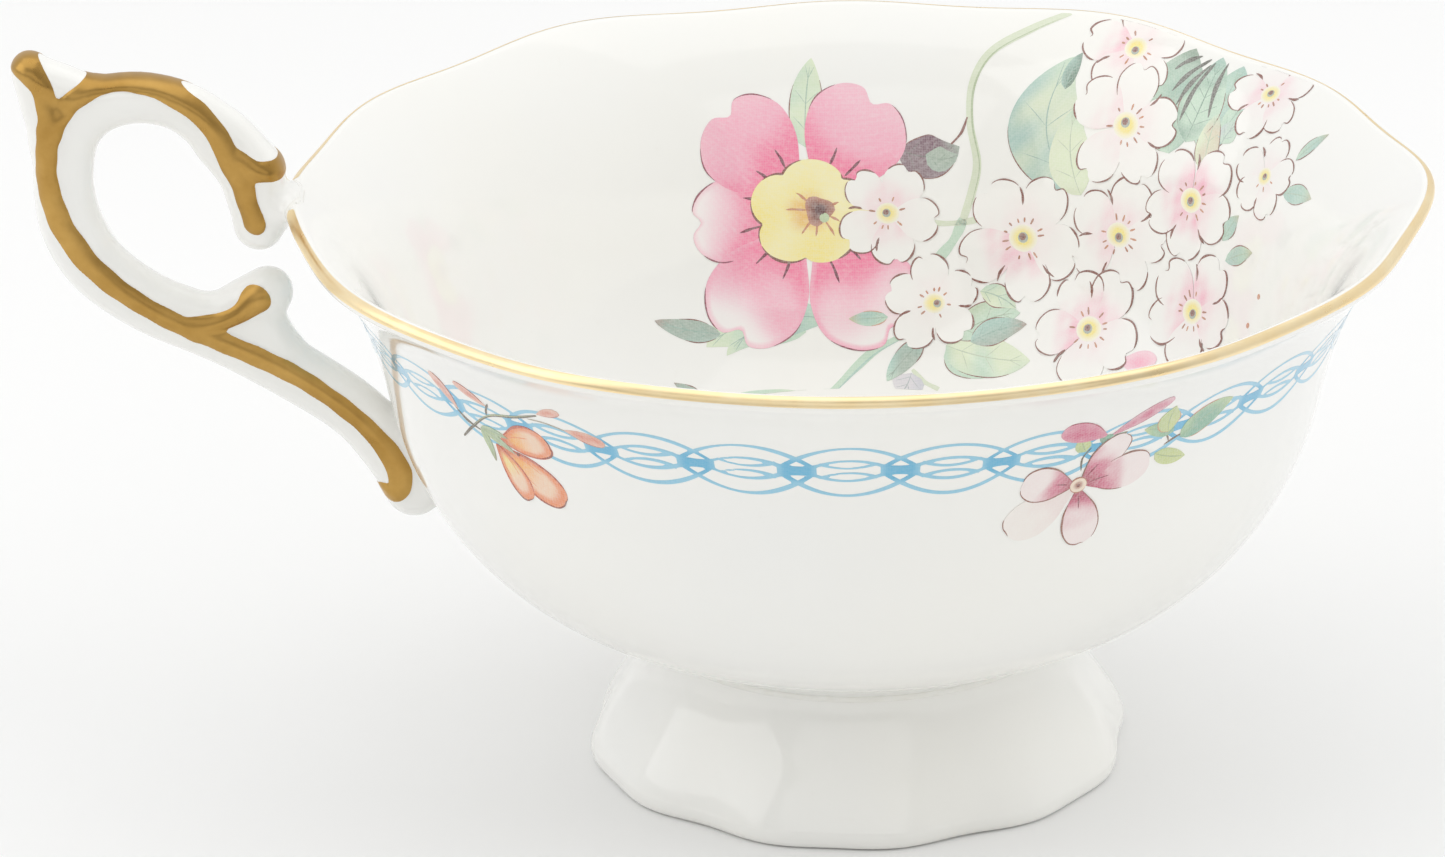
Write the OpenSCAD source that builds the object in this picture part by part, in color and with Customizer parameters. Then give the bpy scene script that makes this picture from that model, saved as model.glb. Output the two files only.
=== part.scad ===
// Footed teacup with a lobed rim, a lobed pedestal foot and a scrolled ear handle.
// Bowl, foot and handle are made apart and stuck together with slip before firing;
// the gilding and the printed transfers are thin layers fired on over the glaze.
// Origin: centre of the foot on the table. +Z up, the handle towards -X, the front towards -Y.

/* [Bowl] */
// Radius of the rim, midway between its lobes and hollows
rim_r = 53; // [52:0.25:54]
// Height of the rim above the table
rim_z = 56.4; // [55.6:0.1:57.2]
// How far the six large lobes swell in and out at the rim
big_lobe = 0.45; // [0.2:0.05:0.7]
// How far the small lobes between them swell in and out
small_lobe = 0.45; // [0.2:0.05:0.6]
// How far the rim rises and dips with its lobes
rim_wave = 0.15; // [0:0.05:0.3]
// How far the rim is drawn in where the handle joins it
handle_dent = 1.2; // [0.6:0.1:1.4]
// Thickness of the wall at the lip
lip_t = 1.6; // [1.4:0.1:1.8]
// Thickness of the wall at the bottom of the bowl
base_t = 3.0; // [2.6:0.1:3.4]
// Height at which the foot is stuck to the bowl
joint_z = 13.2; // [12.8:0.1:13.6]
// Radius of the bowl and the foot at that joint
joint_r = 20.4; // [19.8:0.1:21]

/* [Foot] */
// Widest radius of the foot, midway between its lobes and hollows
foot_r = 25.7; // [24.8:0.1:26.5]
// How far the foot's large lobes swell in and out
foot_big_lobe = 0.37; // [0.1:0.05:0.6]
// How far the foot's small lobes swell in and out
foot_small_lobe = 0.32; // [0.1:0.05:0.5]
// Angle by which the foot's lobes are turned against the rim's
foot_turn = 23; // [0:1:60]
// Thickness of the foot's wall
foot_wall = 2.6; // [2.2:0.1:3]

/* [Handle] */
// Thickness of the handle casting across its two mould halves
handle_t = 4.4; // [4:0.1:5]
// Thickness of the handle where it spreads over the rim
root_t = 6.2; // [5.6:0.1:6.4]
// Height of the raised rib that carries the gilding
rib_h = 0.45; // [0.3:0.05:0.6]

/* [Joints and decoration] */
// Thickness of the slip in each stuck joint
slip_t = 0.4; // [0.3:0.05:0.5]
// How far the slip squeezes out past a handle joint
slip_bead = 0.35; // [0.2:0.05:0.5]
// Thickness of the gold film, drawn thicker than real so that it is a solid
gilt_t = 0.12; // [0.1:0.01:0.2]
// Thickness of a printed transfer, drawn thicker than real so that it is a solid
print_t = 0.1; // [0.08:0.01:0.15]
// Lower edge of the blue lattice border
border_z0 = 44.4; // [44:0.1:44.8]
// Upper edge of the blue lattice border
border_z1 = 50.5; // [50:0.1:51]

/* [Hidden] */

china = [0.95, 0.94, 0.91];
gold = [0.83, 0.66, 0.28];
slip_white = [0.88, 0.87, 0.83];
print_blue = [0.55, 0.78, 0.9];
print_orange = [0.93, 0.62, 0.42];
print_pink = [0.9, 0.6, 0.72];

ring_n = 96;       // points round the cup, a multiple of the twelve lobes
ring_step = 360 / ring_n;
lobe_n = 6;        // large lobes of the rim and of the foot
foot_top = joint_z - slip_t / 2;
handle_a = 180;    // direction of the handle
dent_half = 14;    // half angle over which the rim is drawn in at the handle
cut_r = 40;        // half size of the boxes that divide the joint layer
eps = 0.01;

// ---- curves -------------------------------------------------------------------------
function bez(p, t) = pow(1 - t, 3) * p[0] + 3 * pow(1 - t, 2) * t * p[1]
    + 3 * (1 - t) * t * t * p[2] + pow(t, 3) * p[3];
function turn_left(v) = [-v[1], v[0]] / norm(v);
// Catmull-Rom curve through a list of points, with n steps between neighbours
function spline_at(a, b, c, d, t) = 0.5 * (2 * b + t * (c - a)
    + t * t * (2 * a - 5 * b + 4 * c - d) + t * t * t * (3 * b - a - 3 * c + d));
function smooth(p, n) = [
    for (i = [0 : len(p) - 2], k = [0 : n - 1])
        spline_at(p[max(i - 1, 0)], p[i], p[i + 1], p[min(i + 2, len(p) - 1)], k / n),
    p[len(p) - 1]];

// ---- the bowl's outlines, as [radius, height] -------------------------------------------
waist = [0.83 * rim_r, rim_z - 19.4];
collar = [joint_r + 0.6, joint_z + 2.2];
belly_curve = [collar, [33, joint_z + 4], [waist[0] - 2.5, waist[1] - 11], waist];
flare_curve = [waist, waist + [1.4, 6.2], [rim_r - 6, rim_z - 5.9],
    [rim_r + lip_t / 2 - 0.4, rim_z - lip_t * 0.55]];

function outer_at(s) = s < 1 ? bez(belly_curve, s) : bez(flare_curve, s - 1);
function outer_dir(s) = outer_at(min(s + 0.01, 2)) - outer_at(max(s - 0.01, 0));
// the point g outside the outer face, or inside it when g is negative
function face_at(s, g) = outer_at(s) - g * turn_left(outer_dir(s));
function wall_at(s) = lip_t + 0.5 + (base_t - lip_t - 0.5) * pow(1 - s / 2, 2)
    - 0.5 * pow(s / 2, 6);
function inner_at(s) = face_at(s, -wall_at(s));

// the lobes reach full size at the rim and die away down the flare
fade_z = rim_z - 14.5;
function fade(z) = pow(min(1, max(0, (z - fade_z) / (rim_z - fade_z))), 1.6);
function dent(a) = handle_dent * exp(-pow(((a % 360) - handle_a) / dent_half, 2));
function lobed(p, a) = let(f = fade(p[1])) [
    p[0] + f * (big_lobe * cos(lobe_n * a) + small_lobe * cos(2 * lobe_n * a) - dent(a)),
    p[1] + f * rim_wave * (cos(lobe_n * a) + cos(2 * lobe_n * a))];
function round_z(p, a) = [p[0] * cos(a), p[0] * sin(a), p[1]];
function cup_point(p, a) = round_z(lobed(p, a), a);

// the rounded crown of the lip, from the outer face over to the inner face
lip_out = outer_at(2);
lip_in = inner_at(2);
lip_mid = (lip_out + lip_in) / 2;
lip_axis = (lip_out - lip_in) / 2;
function crown_at(t, g) = lip_mid + (1 + g / norm(lip_axis))
    * (cos(t) * lip_axis + sin(t) * turn_left(lip_axis) * norm(lip_axis));

// the outer face's parameter at height z in the flare, by halving
function outer_s(z, lo = 1, hi = 2) = hi - lo < 0.0005 ? lo
    : let(m = (lo + hi) / 2) outer_at(m)[1] < z ? outer_s(z, m, hi) : outer_s(z, lo, m);

// rows of the two faces: the prints start and end on rows, so that they lie flat on the facets
spray_gap = 0.4;   // clear strip between a spray and the border above it
spray_row = 7;
border_row = 10;
border_rows = 3;
rows = concat([for (i = [0 : spray_row]) i / spray_row],
    [for (z = [waist[1] + 3.6, border_z0 - spray_gap, border_z0,
        (2 * border_z0 + border_z1) / 3, (border_z0 + 2 * border_z1) / 3, border_z1,
        border_z1 + 2, border_z1 + 3.7]) outer_s(z)], [2]);
outer_line = [for (s = rows) outer_at(s)];
inner_line = [for (i = [len(rows) - 1 : -1 : 3]) inner_at(rows[i])];
crown_angles = [20 : 30 : 140];
crown_line = [for (t = crown_angles) crown_at(t, 0)];
well_z = joint_z + base_t + 0.2;
well_line = [[24, well_z + 2.05], [18, well_z + 0.9], [10, well_z + 0.25]];
bowl_line = concat([[joint_r, foot_top + slip_t]], outer_line, crown_line, inner_line, well_line);

// Closed body from rings of points; the first and last rings are closed to a centre point
module ringed(rings, low, high) {
    n = len(rings[0]);
    last = len(rings) * n;
    points = concat([for (ring = rings) each ring], [low, high]);
    walls = [for (i = [0 : len(rings) - 2], k = [0 : n - 1]) let(m = (k + 1) % n) each [
        [i * n + k, (i + 1) * n + k, i * n + m],
        [i * n + m, (i + 1) * n + k, (i + 1) * n + m]]];
    ends = [for (k = [0 : n - 1]) let(m = (k + 1) % n) each [
        [last, k, m], [last - n + k, last + 1, last - n + m]]];
    polyhedron(points = points, faces = concat(walls, ends));
}

// Outline of points carried round the cup from one ring step to another, with flat ends,
// or all the way round as a closed hoop
module swept(line, step0, step1) {
    n = len(line);
    steps = step1 - step0;
    hoop = steps == ring_n;
    rings = hoop ? steps : steps + 1;
    points = [for (k = [0 : rings - 1], p = line) cup_point(p, (step0 + k) * ring_step)];
    sides = [for (k = [0 : steps - 1], i = [0 : n - 1])
        let(j = (i + 1) % n, m = (k + 1) % rings) each [
            [k * n + i, k * n + j, m * n + i], [k * n + j, m * n + j, m * n + i]]];
    ends = hoop ? [] : [for (i = [1 : n - 2]) each [
        [0, i + 1, i], [steps * n, steps * n + i, steps * n + i + 1]]];
    polyhedron(points = points, faces = concat(sides, ends));
}

function ring_of(p) = [for (k = [0 : ring_n - 1]) cup_point(p, k * ring_step)];

// The space that the bowl fills, grown by g, with everything over the bowl as well
module bowl_block(g) {
    line = concat([[joint_r + g, joint_z - g]], [for (s = rows) face_at(s, g)],
        [for (t = [20, 50, 80]) crown_at(t, g)], [[lip_mid[0], rim_z + 20]]);
    ringed([for (p = line) ring_of(p)], [0, 0, line[0][1]], [0, 0, rim_z + 20]);
}

// ---- body pieces ----------------------------------------------------------------------
module bowl() {
    color(china) ringed([for (p = bowl_line) ring_of(p)],
        [0, 0, bowl_line[0][1]], [0, 0, well_z]);
}

foot_curve = [[joint_r - 0.1, foot_top], [joint_r + 0.2, 8.5],
    [foot_r - 1.5, 6], [foot_r, 1.7]];
foot_line = concat([[foot_r - 0.75, 0], [foot_r - 0.2, 0.35], [foot_r, 0.95]],
    [for (i = [8 : -1 : 0]) bez(foot_curve, i / 8)]);
function foot_fade(z) = pow(1 - z / foot_top, 1.3);
function foot_point(p, a) = let(f = foot_fade(p[1])) round_z([
    p[0] + f * (foot_big_lobe * cos(lobe_n * (a - foot_turn))
        - foot_small_lobe * cos(2 * lobe_n * (a - foot_turn))), p[1]], a);

module pedestal_foot() {
    hollow = [for (i = [0 : 8]) bez(foot_curve, i / 8) - [foot_wall, 0]];
    color(china) difference() {
        ringed([for (p = foot_line)
                [for (k = [0 : ring_n - 1]) foot_point(p, k * ring_step)]],
            [0, 0, 0], [0, 0, foot_top]);
        rotate_extrude($fn = ring_n)
            polygon(concat([[0, -1], [foot_r - foot_wall - 0.4, -1]],
                [for (i = [8 : -1 : 0]) hollow[i]],
                [[hollow[0][0], foot_top + 1], [0, foot_top + 1]]));
    }
}

module foot_slip_ring() {
    color(slip_white) rotate_extrude($fn = ring_n)
        translate([joint_r - 3.2, foot_top]) square([3, slip_t]);
}

// ---- handle -----------------------------------------------------------------------------
// Each bead is [distance out from the cup's axis, height, radius]; a stroke joins its beads.
scroll_stroke = [[77.2, 70.0, 1.9], [75.9, 66.5, 2.3], [74.6, 62.5, 2.7], [74.2, 58.0, 2.8],
    [73.4, 54.0, 2.9], [71.0, 50.1, 2.9], [66.3, 46.5, 2.9], [59.6, 43.4, 2.9],
    [52.6, 38.7, 2.8], [47.6, 34.4, 3.0], [44.2, 30.0, 3.1], [42.2, 27.0, 2.9]];
arch_stroke = [[74.4, 63.0, 2.5], [71.6, 66.0, 2.3], [67.6, 67.1, 2.1], [63.6, 66.3, 2.3],
    [60.6, 64.2, 2.6], [58.0, 61.0, 3.0], [56.7, 57.8, 2.8], [56.1, 54.4, 2.5]];
spur_stroke = [[60.5, 44.4, 2.6], [57.6, 46.2, 2.5], [55.4, 47.3, 2.4]];
spur_web = [[56.2, 44.0, 2.6], [54.6, 41.6, 2.2]];
tip_web = [[76.4, 69.6, 1.9], [74.3, 68.7, 2.0], [71.8, 67.2, 2.0]];
lobe_web = [[59.0, 62.6, 2.8], [55.8, 59.4, 2.5]];
root_bead = [[56.2, 57.4, 2.3], [53.4, 56.2, 2.6]];

scroll_rib = [[77.3, 69.8, 1.1], [76.1, 66.8, 1.3], [75.4, 62.5, 1.3], [75.5, 58.5, 1.25],
    [74.6, 54.0, 1.25], [72.0, 49.9, 1.3], [66.9, 46.3, 1.4], [60.0, 43.3, 1.5],
    [53.6, 39.4, 1.4], [48.2, 35.0, 1.4], [44.7, 30.8, 1.45], [43.6, 28.0, 1.3],
    [44.8, 26.9, 1.0]];
arch_rib = [[75.2, 63.8, 1.3], [72.0, 66.9, 1.2], [68.0, 67.9, 1.1], [64.2, 67.0, 1.15],
    [60.8, 64.4, 1.3], [58.5, 61.0, 1.5], [57.5, 57.6, 1.4], [56.9, 55.0, 1.3]];
spur_rib = [[61.5, 44.3, 1.3], [58.6, 45.4, 1.2], [56.4, 47.0, 1.35]];
root_rib = [[57.8, 60.4, 1.4], [55.9, 59.5, 1.1], [54.2, 59.4, 1.0]];

module disc(bead, r, y0, y1) {
    translate([-bead[0], y0, bead[1]]) rotate([-90, 0, 0]) cylinder(r = r, h = y1 - y0);
}

// A flat round bead of the casting with bevelled edges
module body_bead(bead, t, g, $fn = 16) {
    edge = min(1.4, bead[2] * 0.6);
    disc(bead, bead[2] + g, -t * 0.22 - g, t * 0.22 + g);
    disc(bead, bead[2] + g - edge, -t / 2 - g, t / 2 + g);
}

module body_stroke(line, t, g) {
    for (i = [0 : len(line) - 2])
        hull() {
            body_bead(line[i], t, g);
            body_bead(line[i + 1], t, g);
        }
}

// A plate along a stroke between two depths across the handle
module flat_stroke(line, y0, y1, $fn = 12) {
    for (i = [0 : len(line) - 2])
        hull() {
            disc(line[i], line[i][2], y0, y1);
            disc(line[i + 1], line[i + 1][2], y0, y1);
        }
}

rib_strokes = [smooth(scroll_rib, 2), smooth(arch_rib, 2), smooth(spur_rib, 2), root_rib];
rib_top = handle_t / 2 + rib_h;

// The casting before its ends are fettled to fit the bowl, grown by g
module handle_casting(g) {
    for (line = [smooth(scroll_stroke, 2), smooth(arch_stroke, 2), spur_stroke, spur_web,
            tip_web, lobe_web])
        body_stroke(line, handle_t, g);
    hull() {
        body_bead(root_bead[0], handle_t, g);
        body_bead(root_bead[1], root_t, g);
    }
}

module handle() {
    color(china) difference() {
        union() {
            handle_casting(0);
            for (line = rib_strokes)
                flat_stroke(line, -rib_top, rib_top);
        }
        bowl_block(slip_t);
    }
}

// The layer of slip between the handle and the bowl, with its squeezed-out bead
module handle_slip(z0, z1) {
    color(slip_white) difference() {
        intersection() {
            handle_casting(slip_bead);
            bowl_block(slip_t - eps);
            translate([-rim_r - cut_r, -cut_r, z0]) cube([2 * cut_r, 2 * cut_r, z1 - z0]);
        }
        bowl_block(eps);
    }
}

module upper_handle_slip() {
    handle_slip(waist[1] + 12, rim_z + 10);
}

module lower_handle_slip() {
    handle_slip(collar[1], waist[1] + 12);
}

// ---- gilding ------------------------------------------------------------------------------
module rim_gilding() {
    line = concat([for (t = crown_angles) crown_at(t, gilt_t)],
        [for (i = [len(crown_line) - 1 : -1 : 0]) crown_at(crown_angles[0] + 30 * i, eps)]);
    handle_step = handle_a / ring_step;
    color(gold) swept(line, handle_step + 1, handle_step + ring_n - 1);
}

module handle_gilding(side) {
    y = side * rib_top;
    color(gold) difference() {
        union() {
            for (line = rib_strokes)
                flat_stroke(line, min(y, y + side * gilt_t), max(y, y + side * gilt_t));
        }
        bowl_block(slip_t + 0.2);
    }
}

module handle_gilding_front() {
    handle_gilding(-1);
}

module handle_gilding_back() {
    handle_gilding(1);
}

// ---- printed transfers ----------------------------------------------------------------------
// A print on the outer face, over so many rows of it and between two ring steps
module outer_print(row, count, step0, step1) {
    line = concat([for (i = [row : row + count]) face_at(rows[i], print_t)],
        [for (i = [row + count : -1 : row]) face_at(rows[i], eps)]);
    swept(line, step0, step1);
}

// A print on the inner face, over so many rows of it and between two ring steps
module inner_print(row, count, step0, step1) {
    line = concat([for (i = [row : row + count]) face_at(rows[i], -wall_at(rows[i]) - eps)],
        [for (i = [row + count : -1 : row]) face_at(rows[i], -wall_at(rows[i]) - print_t)]);
    swept(line, step0, step1);
}

module border_transfer() {
    color(print_blue) outer_print(border_row, border_rows, 0, ring_n);
}

// A spray hangs below the border, centred on a ring step
module spray(middle, half) {
    outer_print(spray_row, 2, middle - half, middle + half);
}

orange_step = 62;
pink_step = 82;
half_turn = ring_n / 2;

module front_orange_blossom() {
    color(print_orange) spray(orange_step, 3);
}

module front_pink_blossom() {
    color(print_pink) spray(pink_step, 4);
}

module back_orange_blossom() {
    color(print_orange) spray(orange_step - half_turn, 3);
}

module back_pink_blossom() {
    color(print_pink) spray(pink_step - half_turn, 4);
}

// The bouquet climbs the inner wall on the side away from the handle
module inner_bouquet() {
    color(print_pink) inner_print(3, 11, 0, 28);
}

bowl();
pedestal_foot();
foot_slip_ring();
handle();
upper_handle_slip();
lower_handle_slip();
rim_gilding();
handle_gilding_front();
handle_gilding_back();
border_transfer();
front_orange_blossom();
front_pink_blossom();
back_orange_blossom();
back_pink_blossom();
inner_bouquet();
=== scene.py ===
"""Looks of the footed teacup: glazed bone china, burnished gold, a lattice border and printed blossoms.
Lengths are in millimetres until a mesh is made. The bowl, the foot, the gold line and the border lie
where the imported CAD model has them. The handle and the blossoms are drawn here in more detail than
there, and the sprays outside lie over the border."""
import math

import bpy
import numpy as np
from mathutils import Matrix, Vector


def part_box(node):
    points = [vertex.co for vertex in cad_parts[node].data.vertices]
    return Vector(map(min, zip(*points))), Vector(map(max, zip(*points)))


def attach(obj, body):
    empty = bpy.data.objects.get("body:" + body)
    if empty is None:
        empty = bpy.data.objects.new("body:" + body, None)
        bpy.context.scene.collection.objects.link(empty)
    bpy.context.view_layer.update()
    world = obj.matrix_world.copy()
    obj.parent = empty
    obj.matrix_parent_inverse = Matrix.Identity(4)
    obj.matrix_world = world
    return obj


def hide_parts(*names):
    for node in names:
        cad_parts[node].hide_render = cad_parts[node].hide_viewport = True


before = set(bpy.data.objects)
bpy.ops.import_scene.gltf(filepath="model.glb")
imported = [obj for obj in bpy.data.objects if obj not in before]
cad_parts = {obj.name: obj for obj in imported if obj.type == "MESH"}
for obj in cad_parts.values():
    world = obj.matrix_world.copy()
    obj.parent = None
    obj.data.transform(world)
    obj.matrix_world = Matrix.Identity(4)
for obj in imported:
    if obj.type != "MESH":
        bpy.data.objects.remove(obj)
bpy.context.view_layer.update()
MM = 0.001


def node_box(node):
    """Lowest and highest corner of a CAD node, in millimetres."""
    return [np.array(corner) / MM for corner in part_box(node)]


# ---- dimensions of the cup, in millimetres, as the CAD model has them but for the border ---------
RIM_R = 53.0                                # radius of the rim, midway between lobes and hollows
RIM_Z = 56.4                                # height of the rim
BIG_LOBE, SMALL_LOBE, RIM_WAVE = 0.45, 0.45, 0.15
HANDLE_DENT, DENT_HALF = 1.2, 14.0          # how far the rim is drawn in at the handle, half angle
LIP_T, BASE_T = 1.6, 3.0                    # wall at the lip and at the bottom of the bowl
FOOT_TOP = node_box("pedestal_foot")[1][2]
BOWL_BASE = node_box("bowl")[0][2]
JOINT_Z = (FOOT_TOP + BOWL_BASE) / 2
JOINT_R = 20.4
FOOT_R, FOOT_WALL, FOOT_TURN = 25.7, 2.6, 23.0
FOOT_BIG_LOBE, FOOT_SMALL_LOBE = 0.37, 0.32
HANDLE_T, ROOT_T, RIB_H = 4.4, 6.2, 0.45    # thickness of the handle, of its root, height of its rib
BORDER_Z = 47.5                             # middle of the border; the CAD patch runs from 44.4 to 50.5
LOBES = 6
AROUND = 384                                # facets round the cup

# ---- how far each layer lies off the glaze ------------------------------------------------------
BOTTOM_LIFT = 0.008                         # underside of every print
LATTICE_LIFT = 0.014
PRINT_LIFT = 0.022
LAYER_LIFT = 0.0022                         # each later shape lies this much over the one before
GOLD_LIFT = 0.035
FILM_BOTTOM = 0.004                         # underside of the rim's gold and of the lattice
GOLD_SINK = 0.03                            # how far the handle's gold reaches into the casting


# ---- curves --------------------------------------------------------------------------------------
def bezier(p, t):
    p = [np.asarray(q, float) for q in p]
    t = np.atleast_1d(t)[:, None]
    return (1 - t) ** 3 * p[0] + 3 * (1 - t) ** 2 * t * p[1] + 3 * (1 - t) * t * t * p[2] + t ** 3 * p[3]


def smooth_path(points, steps, closed=False):
    """Catmull-Rom curve through rows of numbers, with that many steps between neighbours."""
    p = np.asarray(points, float)
    before, after = (p[-1:], p[:2]) if closed else (p[:1], p[-1:])
    q = np.concatenate([before, p, after])
    spans = len(q) - 3
    t = (np.arange(steps) / steps)[:, None]
    parts = []
    for i in range(spans):
        a, b, c, d = q[i:i + 4]
        parts.append(0.5 * (2 * b + t * (c - a) + t * t * (2 * a - 5 * b + 4 * c - d)
                            + t ** 3 * (3 * b - a - 3 * c + d)))
    if not closed:
        parts.append(p[-1:])
    return np.concatenate(parts)


def arc_lengths(line):
    return np.concatenate([[0.0], np.cumsum(np.linalg.norm(np.diff(line, axis=0), axis=1))])


def resample(line, step):
    """The line again with points about one step apart."""
    along = arc_lengths(line)
    n = max(2, int(round(along[-1] / step)) + 1)
    at = np.linspace(0, along[-1], n)
    return np.stack([np.interp(at, along, line[:, i]) for i in range(line.shape[1])], 1)


def smoothstep(x):
    x = np.clip(x, 0, 1)
    return x * x * (3 - 2 * x)


# ---- the cup's outlines, as rows of [radius, height] --------------------------------------------
WAIST = np.array([0.83 * RIM_R, RIM_Z - 19.4])
COLLAR = np.array([JOINT_R + 0.6, JOINT_Z + 2.2])
BELLY = [COLLAR, [33, JOINT_Z + 4], WAIST - [2.5, 11], WAIST]
FLARE = [WAIST, WAIST + [1.4, 6.2], [RIM_R - 6, RIM_Z - 5.9],
         [RIM_R + LIP_T / 2 - 0.4, RIM_Z - LIP_T * 0.55]]


def outer_at(s):
    """Outer face: s runs from 0 at the collar over 1 at the waist to 2 at the lip."""
    s = np.atleast_1d(np.asarray(s, float))
    low = bezier(BELLY, np.clip(s, 0, 1))
    high = bezier(FLARE, np.clip(s - 1, 0, 1))
    return np.where((s < 1)[:, None], low, high)


def face_at(s, gap):
    """The point that far outside the outer face, or inside it where the gap is negative."""
    s = np.atleast_1d(np.asarray(s, float))
    along = outer_at(np.minimum(s + 0.01, 2)) - outer_at(np.maximum(s - 0.01, 0))
    along /= np.linalg.norm(along, axis=1)[:, None]
    inward = np.stack([-along[:, 1], along[:, 0]], 1)
    return outer_at(s) - np.reshape(gap, (-1, 1)) * inward


def wall_at(s):
    s = np.atleast_1d(np.asarray(s, float))
    return LIP_T + 0.5 + (BASE_T - LIP_T - 0.5) * (1 - s / 2) ** 2 - 0.5 * (s / 2) ** 6


def inner_at(s):
    return face_at(s, -wall_at(s))


LIP_OUT, LIP_IN = outer_at(2)[0], inner_at(2)[0]
LIP_MID, LIP_AXIS = (LIP_OUT + LIP_IN) / 2, (LIP_OUT - LIP_IN) / 2


def crown_at(t, gap):
    """Rounded lip: t runs from 0 at the outer face to 180 degrees at the inner face."""
    t = np.radians(np.atleast_1d(t))[:, None]
    r = np.linalg.norm(LIP_AXIS)
    up = np.array([-LIP_AXIS[1], LIP_AXIS[0]])
    return LIP_MID + (1 + gap / r) * (np.cos(t) * LIP_AXIS + np.sin(t) * up)


def fade(z):
    """The rim's lobes reach full size at the rim and die away down the flare."""
    return np.clip((z - (RIM_Z - 14.5)) / 14.5, 0, 1) ** 1.6


def lobe_shift(a, z):
    """How far the lobes move the cup's surface outwards and upwards, at angle a in degrees."""
    big, small = np.cos(np.radians(LOBES * a)), np.cos(np.radians(2 * LOBES * a))
    dent = HANDLE_DENT * np.exp(-(((a % 360) - 180) / DENT_HALF) ** 2)
    return fade(z) * (BIG_LOBE * big + SMALL_LOBE * small - dent), fade(z) * RIM_WAVE * (big + small)


def on_cup(line, a):
    """Rows of [radius, height] carried to angles in degrees; both may be of any matching shape."""
    out, up = lobe_shift(a, line[..., 1])
    r = line[..., 0] + out
    return np.stack([r * np.cos(np.radians(a)), r * np.sin(np.radians(a)), line[..., 1] + up], -1)


class Face:
    """One face of the bowl unrolled. A place on it is an angle round the cup and a depth below
    the rim, measured along the face; right is +1 where the angle grows to a viewer's right."""

    def __init__(self, line, outward, right):
        self.line, self.right = line, right
        self.depths = arc_lengths(line)
        along = np.gradient(line, axis=0)
        along /= np.linalg.norm(along, axis=1)[:, None]
        self.normal = outward * np.stack([-along[:, 1], along[:, 0]], 1)

    def row(self, depth, lift):
        parts = [np.interp(depth, self.depths, self.line[:, i]) for i in (0, 1)]
        lifts = [np.interp(depth, self.depths, self.normal[:, i]) * lift for i in (0, 1)]
        return np.stack([parts[0] + lifts[0], parts[1] + lifts[1]], -1)

    def radius(self, depth):
        return np.interp(depth, self.depths, self.line[:, 0])

    def depth_of(self, z):
        return float(np.interp(-z, -self.line[:, 1], self.depths))

    def point(self, angle, depth, lift):
        return on_cup(self.row(depth, lift), angle)


DOWN = np.linspace(2, 0, 600)
OUTSIDE = Face(outer_at(DOWN), 1, 1)
INSIDE = Face(inner_at(DOWN[:-130]), -1, -1)


# ---- meshes ---------------------------------------------------------------------------------------
def mesh_piece(name, points, faces, materials, inks=None, slots=None):
    """A smooth mesh object from points in millimetres and an array of triangles or of quads."""
    faces = np.asarray(faces, np.int32)
    count, corners = faces.shape
    mesh = bpy.data.meshes.new(name)
    mesh.vertices.add(len(points))
    mesh.vertices.foreach_set("co", (np.asarray(points, float) * MM).astype(np.float32).ravel())
    mesh.loops.add(count * corners)
    mesh.loops.foreach_set("vertex_index", faces.ravel())
    mesh.polygons.add(count)
    mesh.polygons.foreach_set("loop_start", np.arange(count, dtype=np.int32) * corners)
    mesh.polygons.foreach_set("use_smooth", np.ones(count, bool))
    for material in materials:
        mesh.materials.append(material)
    if slots is not None:
        mesh.polygons.foreach_set("material_index", np.asarray(slots, np.int32))
    mesh.update(calc_edges=True)
    if inks is not None:
        layer = mesh.color_attributes.new("ink", "FLOAT_COLOR", "POINT")
        rgba = np.concatenate([inks, np.ones((len(inks), 1))], 1).astype(np.float32)
        layer.data.foreach_set("color", rgba.ravel())
    mesh.set_sharp_from_angle(angle=math.radians(50))
    mesh.validate()
    piece = bpy.data.objects.new(name, mesh)
    bpy.context.scene.collection.objects.link(piece)
    return piece


def finish_piece(piece, slot, *nodes):
    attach(piece, "root")
    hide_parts(*nodes)
    return piece


def turned_quads(rows, columns):
    """Quads of a surface of revolution whose rows of points run round it."""
    i = np.arange(rows - 1)[:, None] * columns
    k = np.arange(columns)[None, :]
    m = (k + 1) % columns
    return np.stack([i + k, i + m, i + columns + m, i + columns + k], -1).reshape(-1, 4)


def halved(quads):
    """Two triangles for each quad."""
    return np.concatenate([quads[:, [0, 1, 2]], quads[:, [0, 2, 3]]])


def grid_triangles(rows, columns):
    """Triangles of an open grid of points."""
    i = np.arange(rows - 1)[:, None] * columns
    k = np.arange(columns - 1)[None, :]
    a, b, c, d = i + k, i + k + 1, i + columns + k + 1, i + columns + k
    return halved(np.stack([a, b, c, d], -1).reshape(-1, 4))


def rim_edges(triangles):
    """Directed edges that only one triangle uses."""
    edges = np.concatenate([triangles[:, [0, 1]], triangles[:, [1, 2]], triangles[:, [2, 0]]])
    size = edges.max() + 1
    key = edges.min(1).astype(np.int64) * size + edges.max(1)
    found, first, uses = np.unique(key, return_index=True, return_counts=True)
    return edges[first[uses == 1]]


def closed_plate(top, bottom, triangles):
    """Points and triangles of a thin closed plate between two copies of one surface."""
    n = len(top)
    edge = rim_edges(triangles)
    skirt = np.concatenate([np.stack([edge[:, 1], edge[:, 0], edge[:, 0] + n], 1),
                            np.stack([edge[:, 1], edge[:, 0] + n, edge[:, 1] + n], 1)])
    return np.concatenate([top, bottom]), np.concatenate([triangles, triangles[:, ::-1] + n, skirt])


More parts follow.
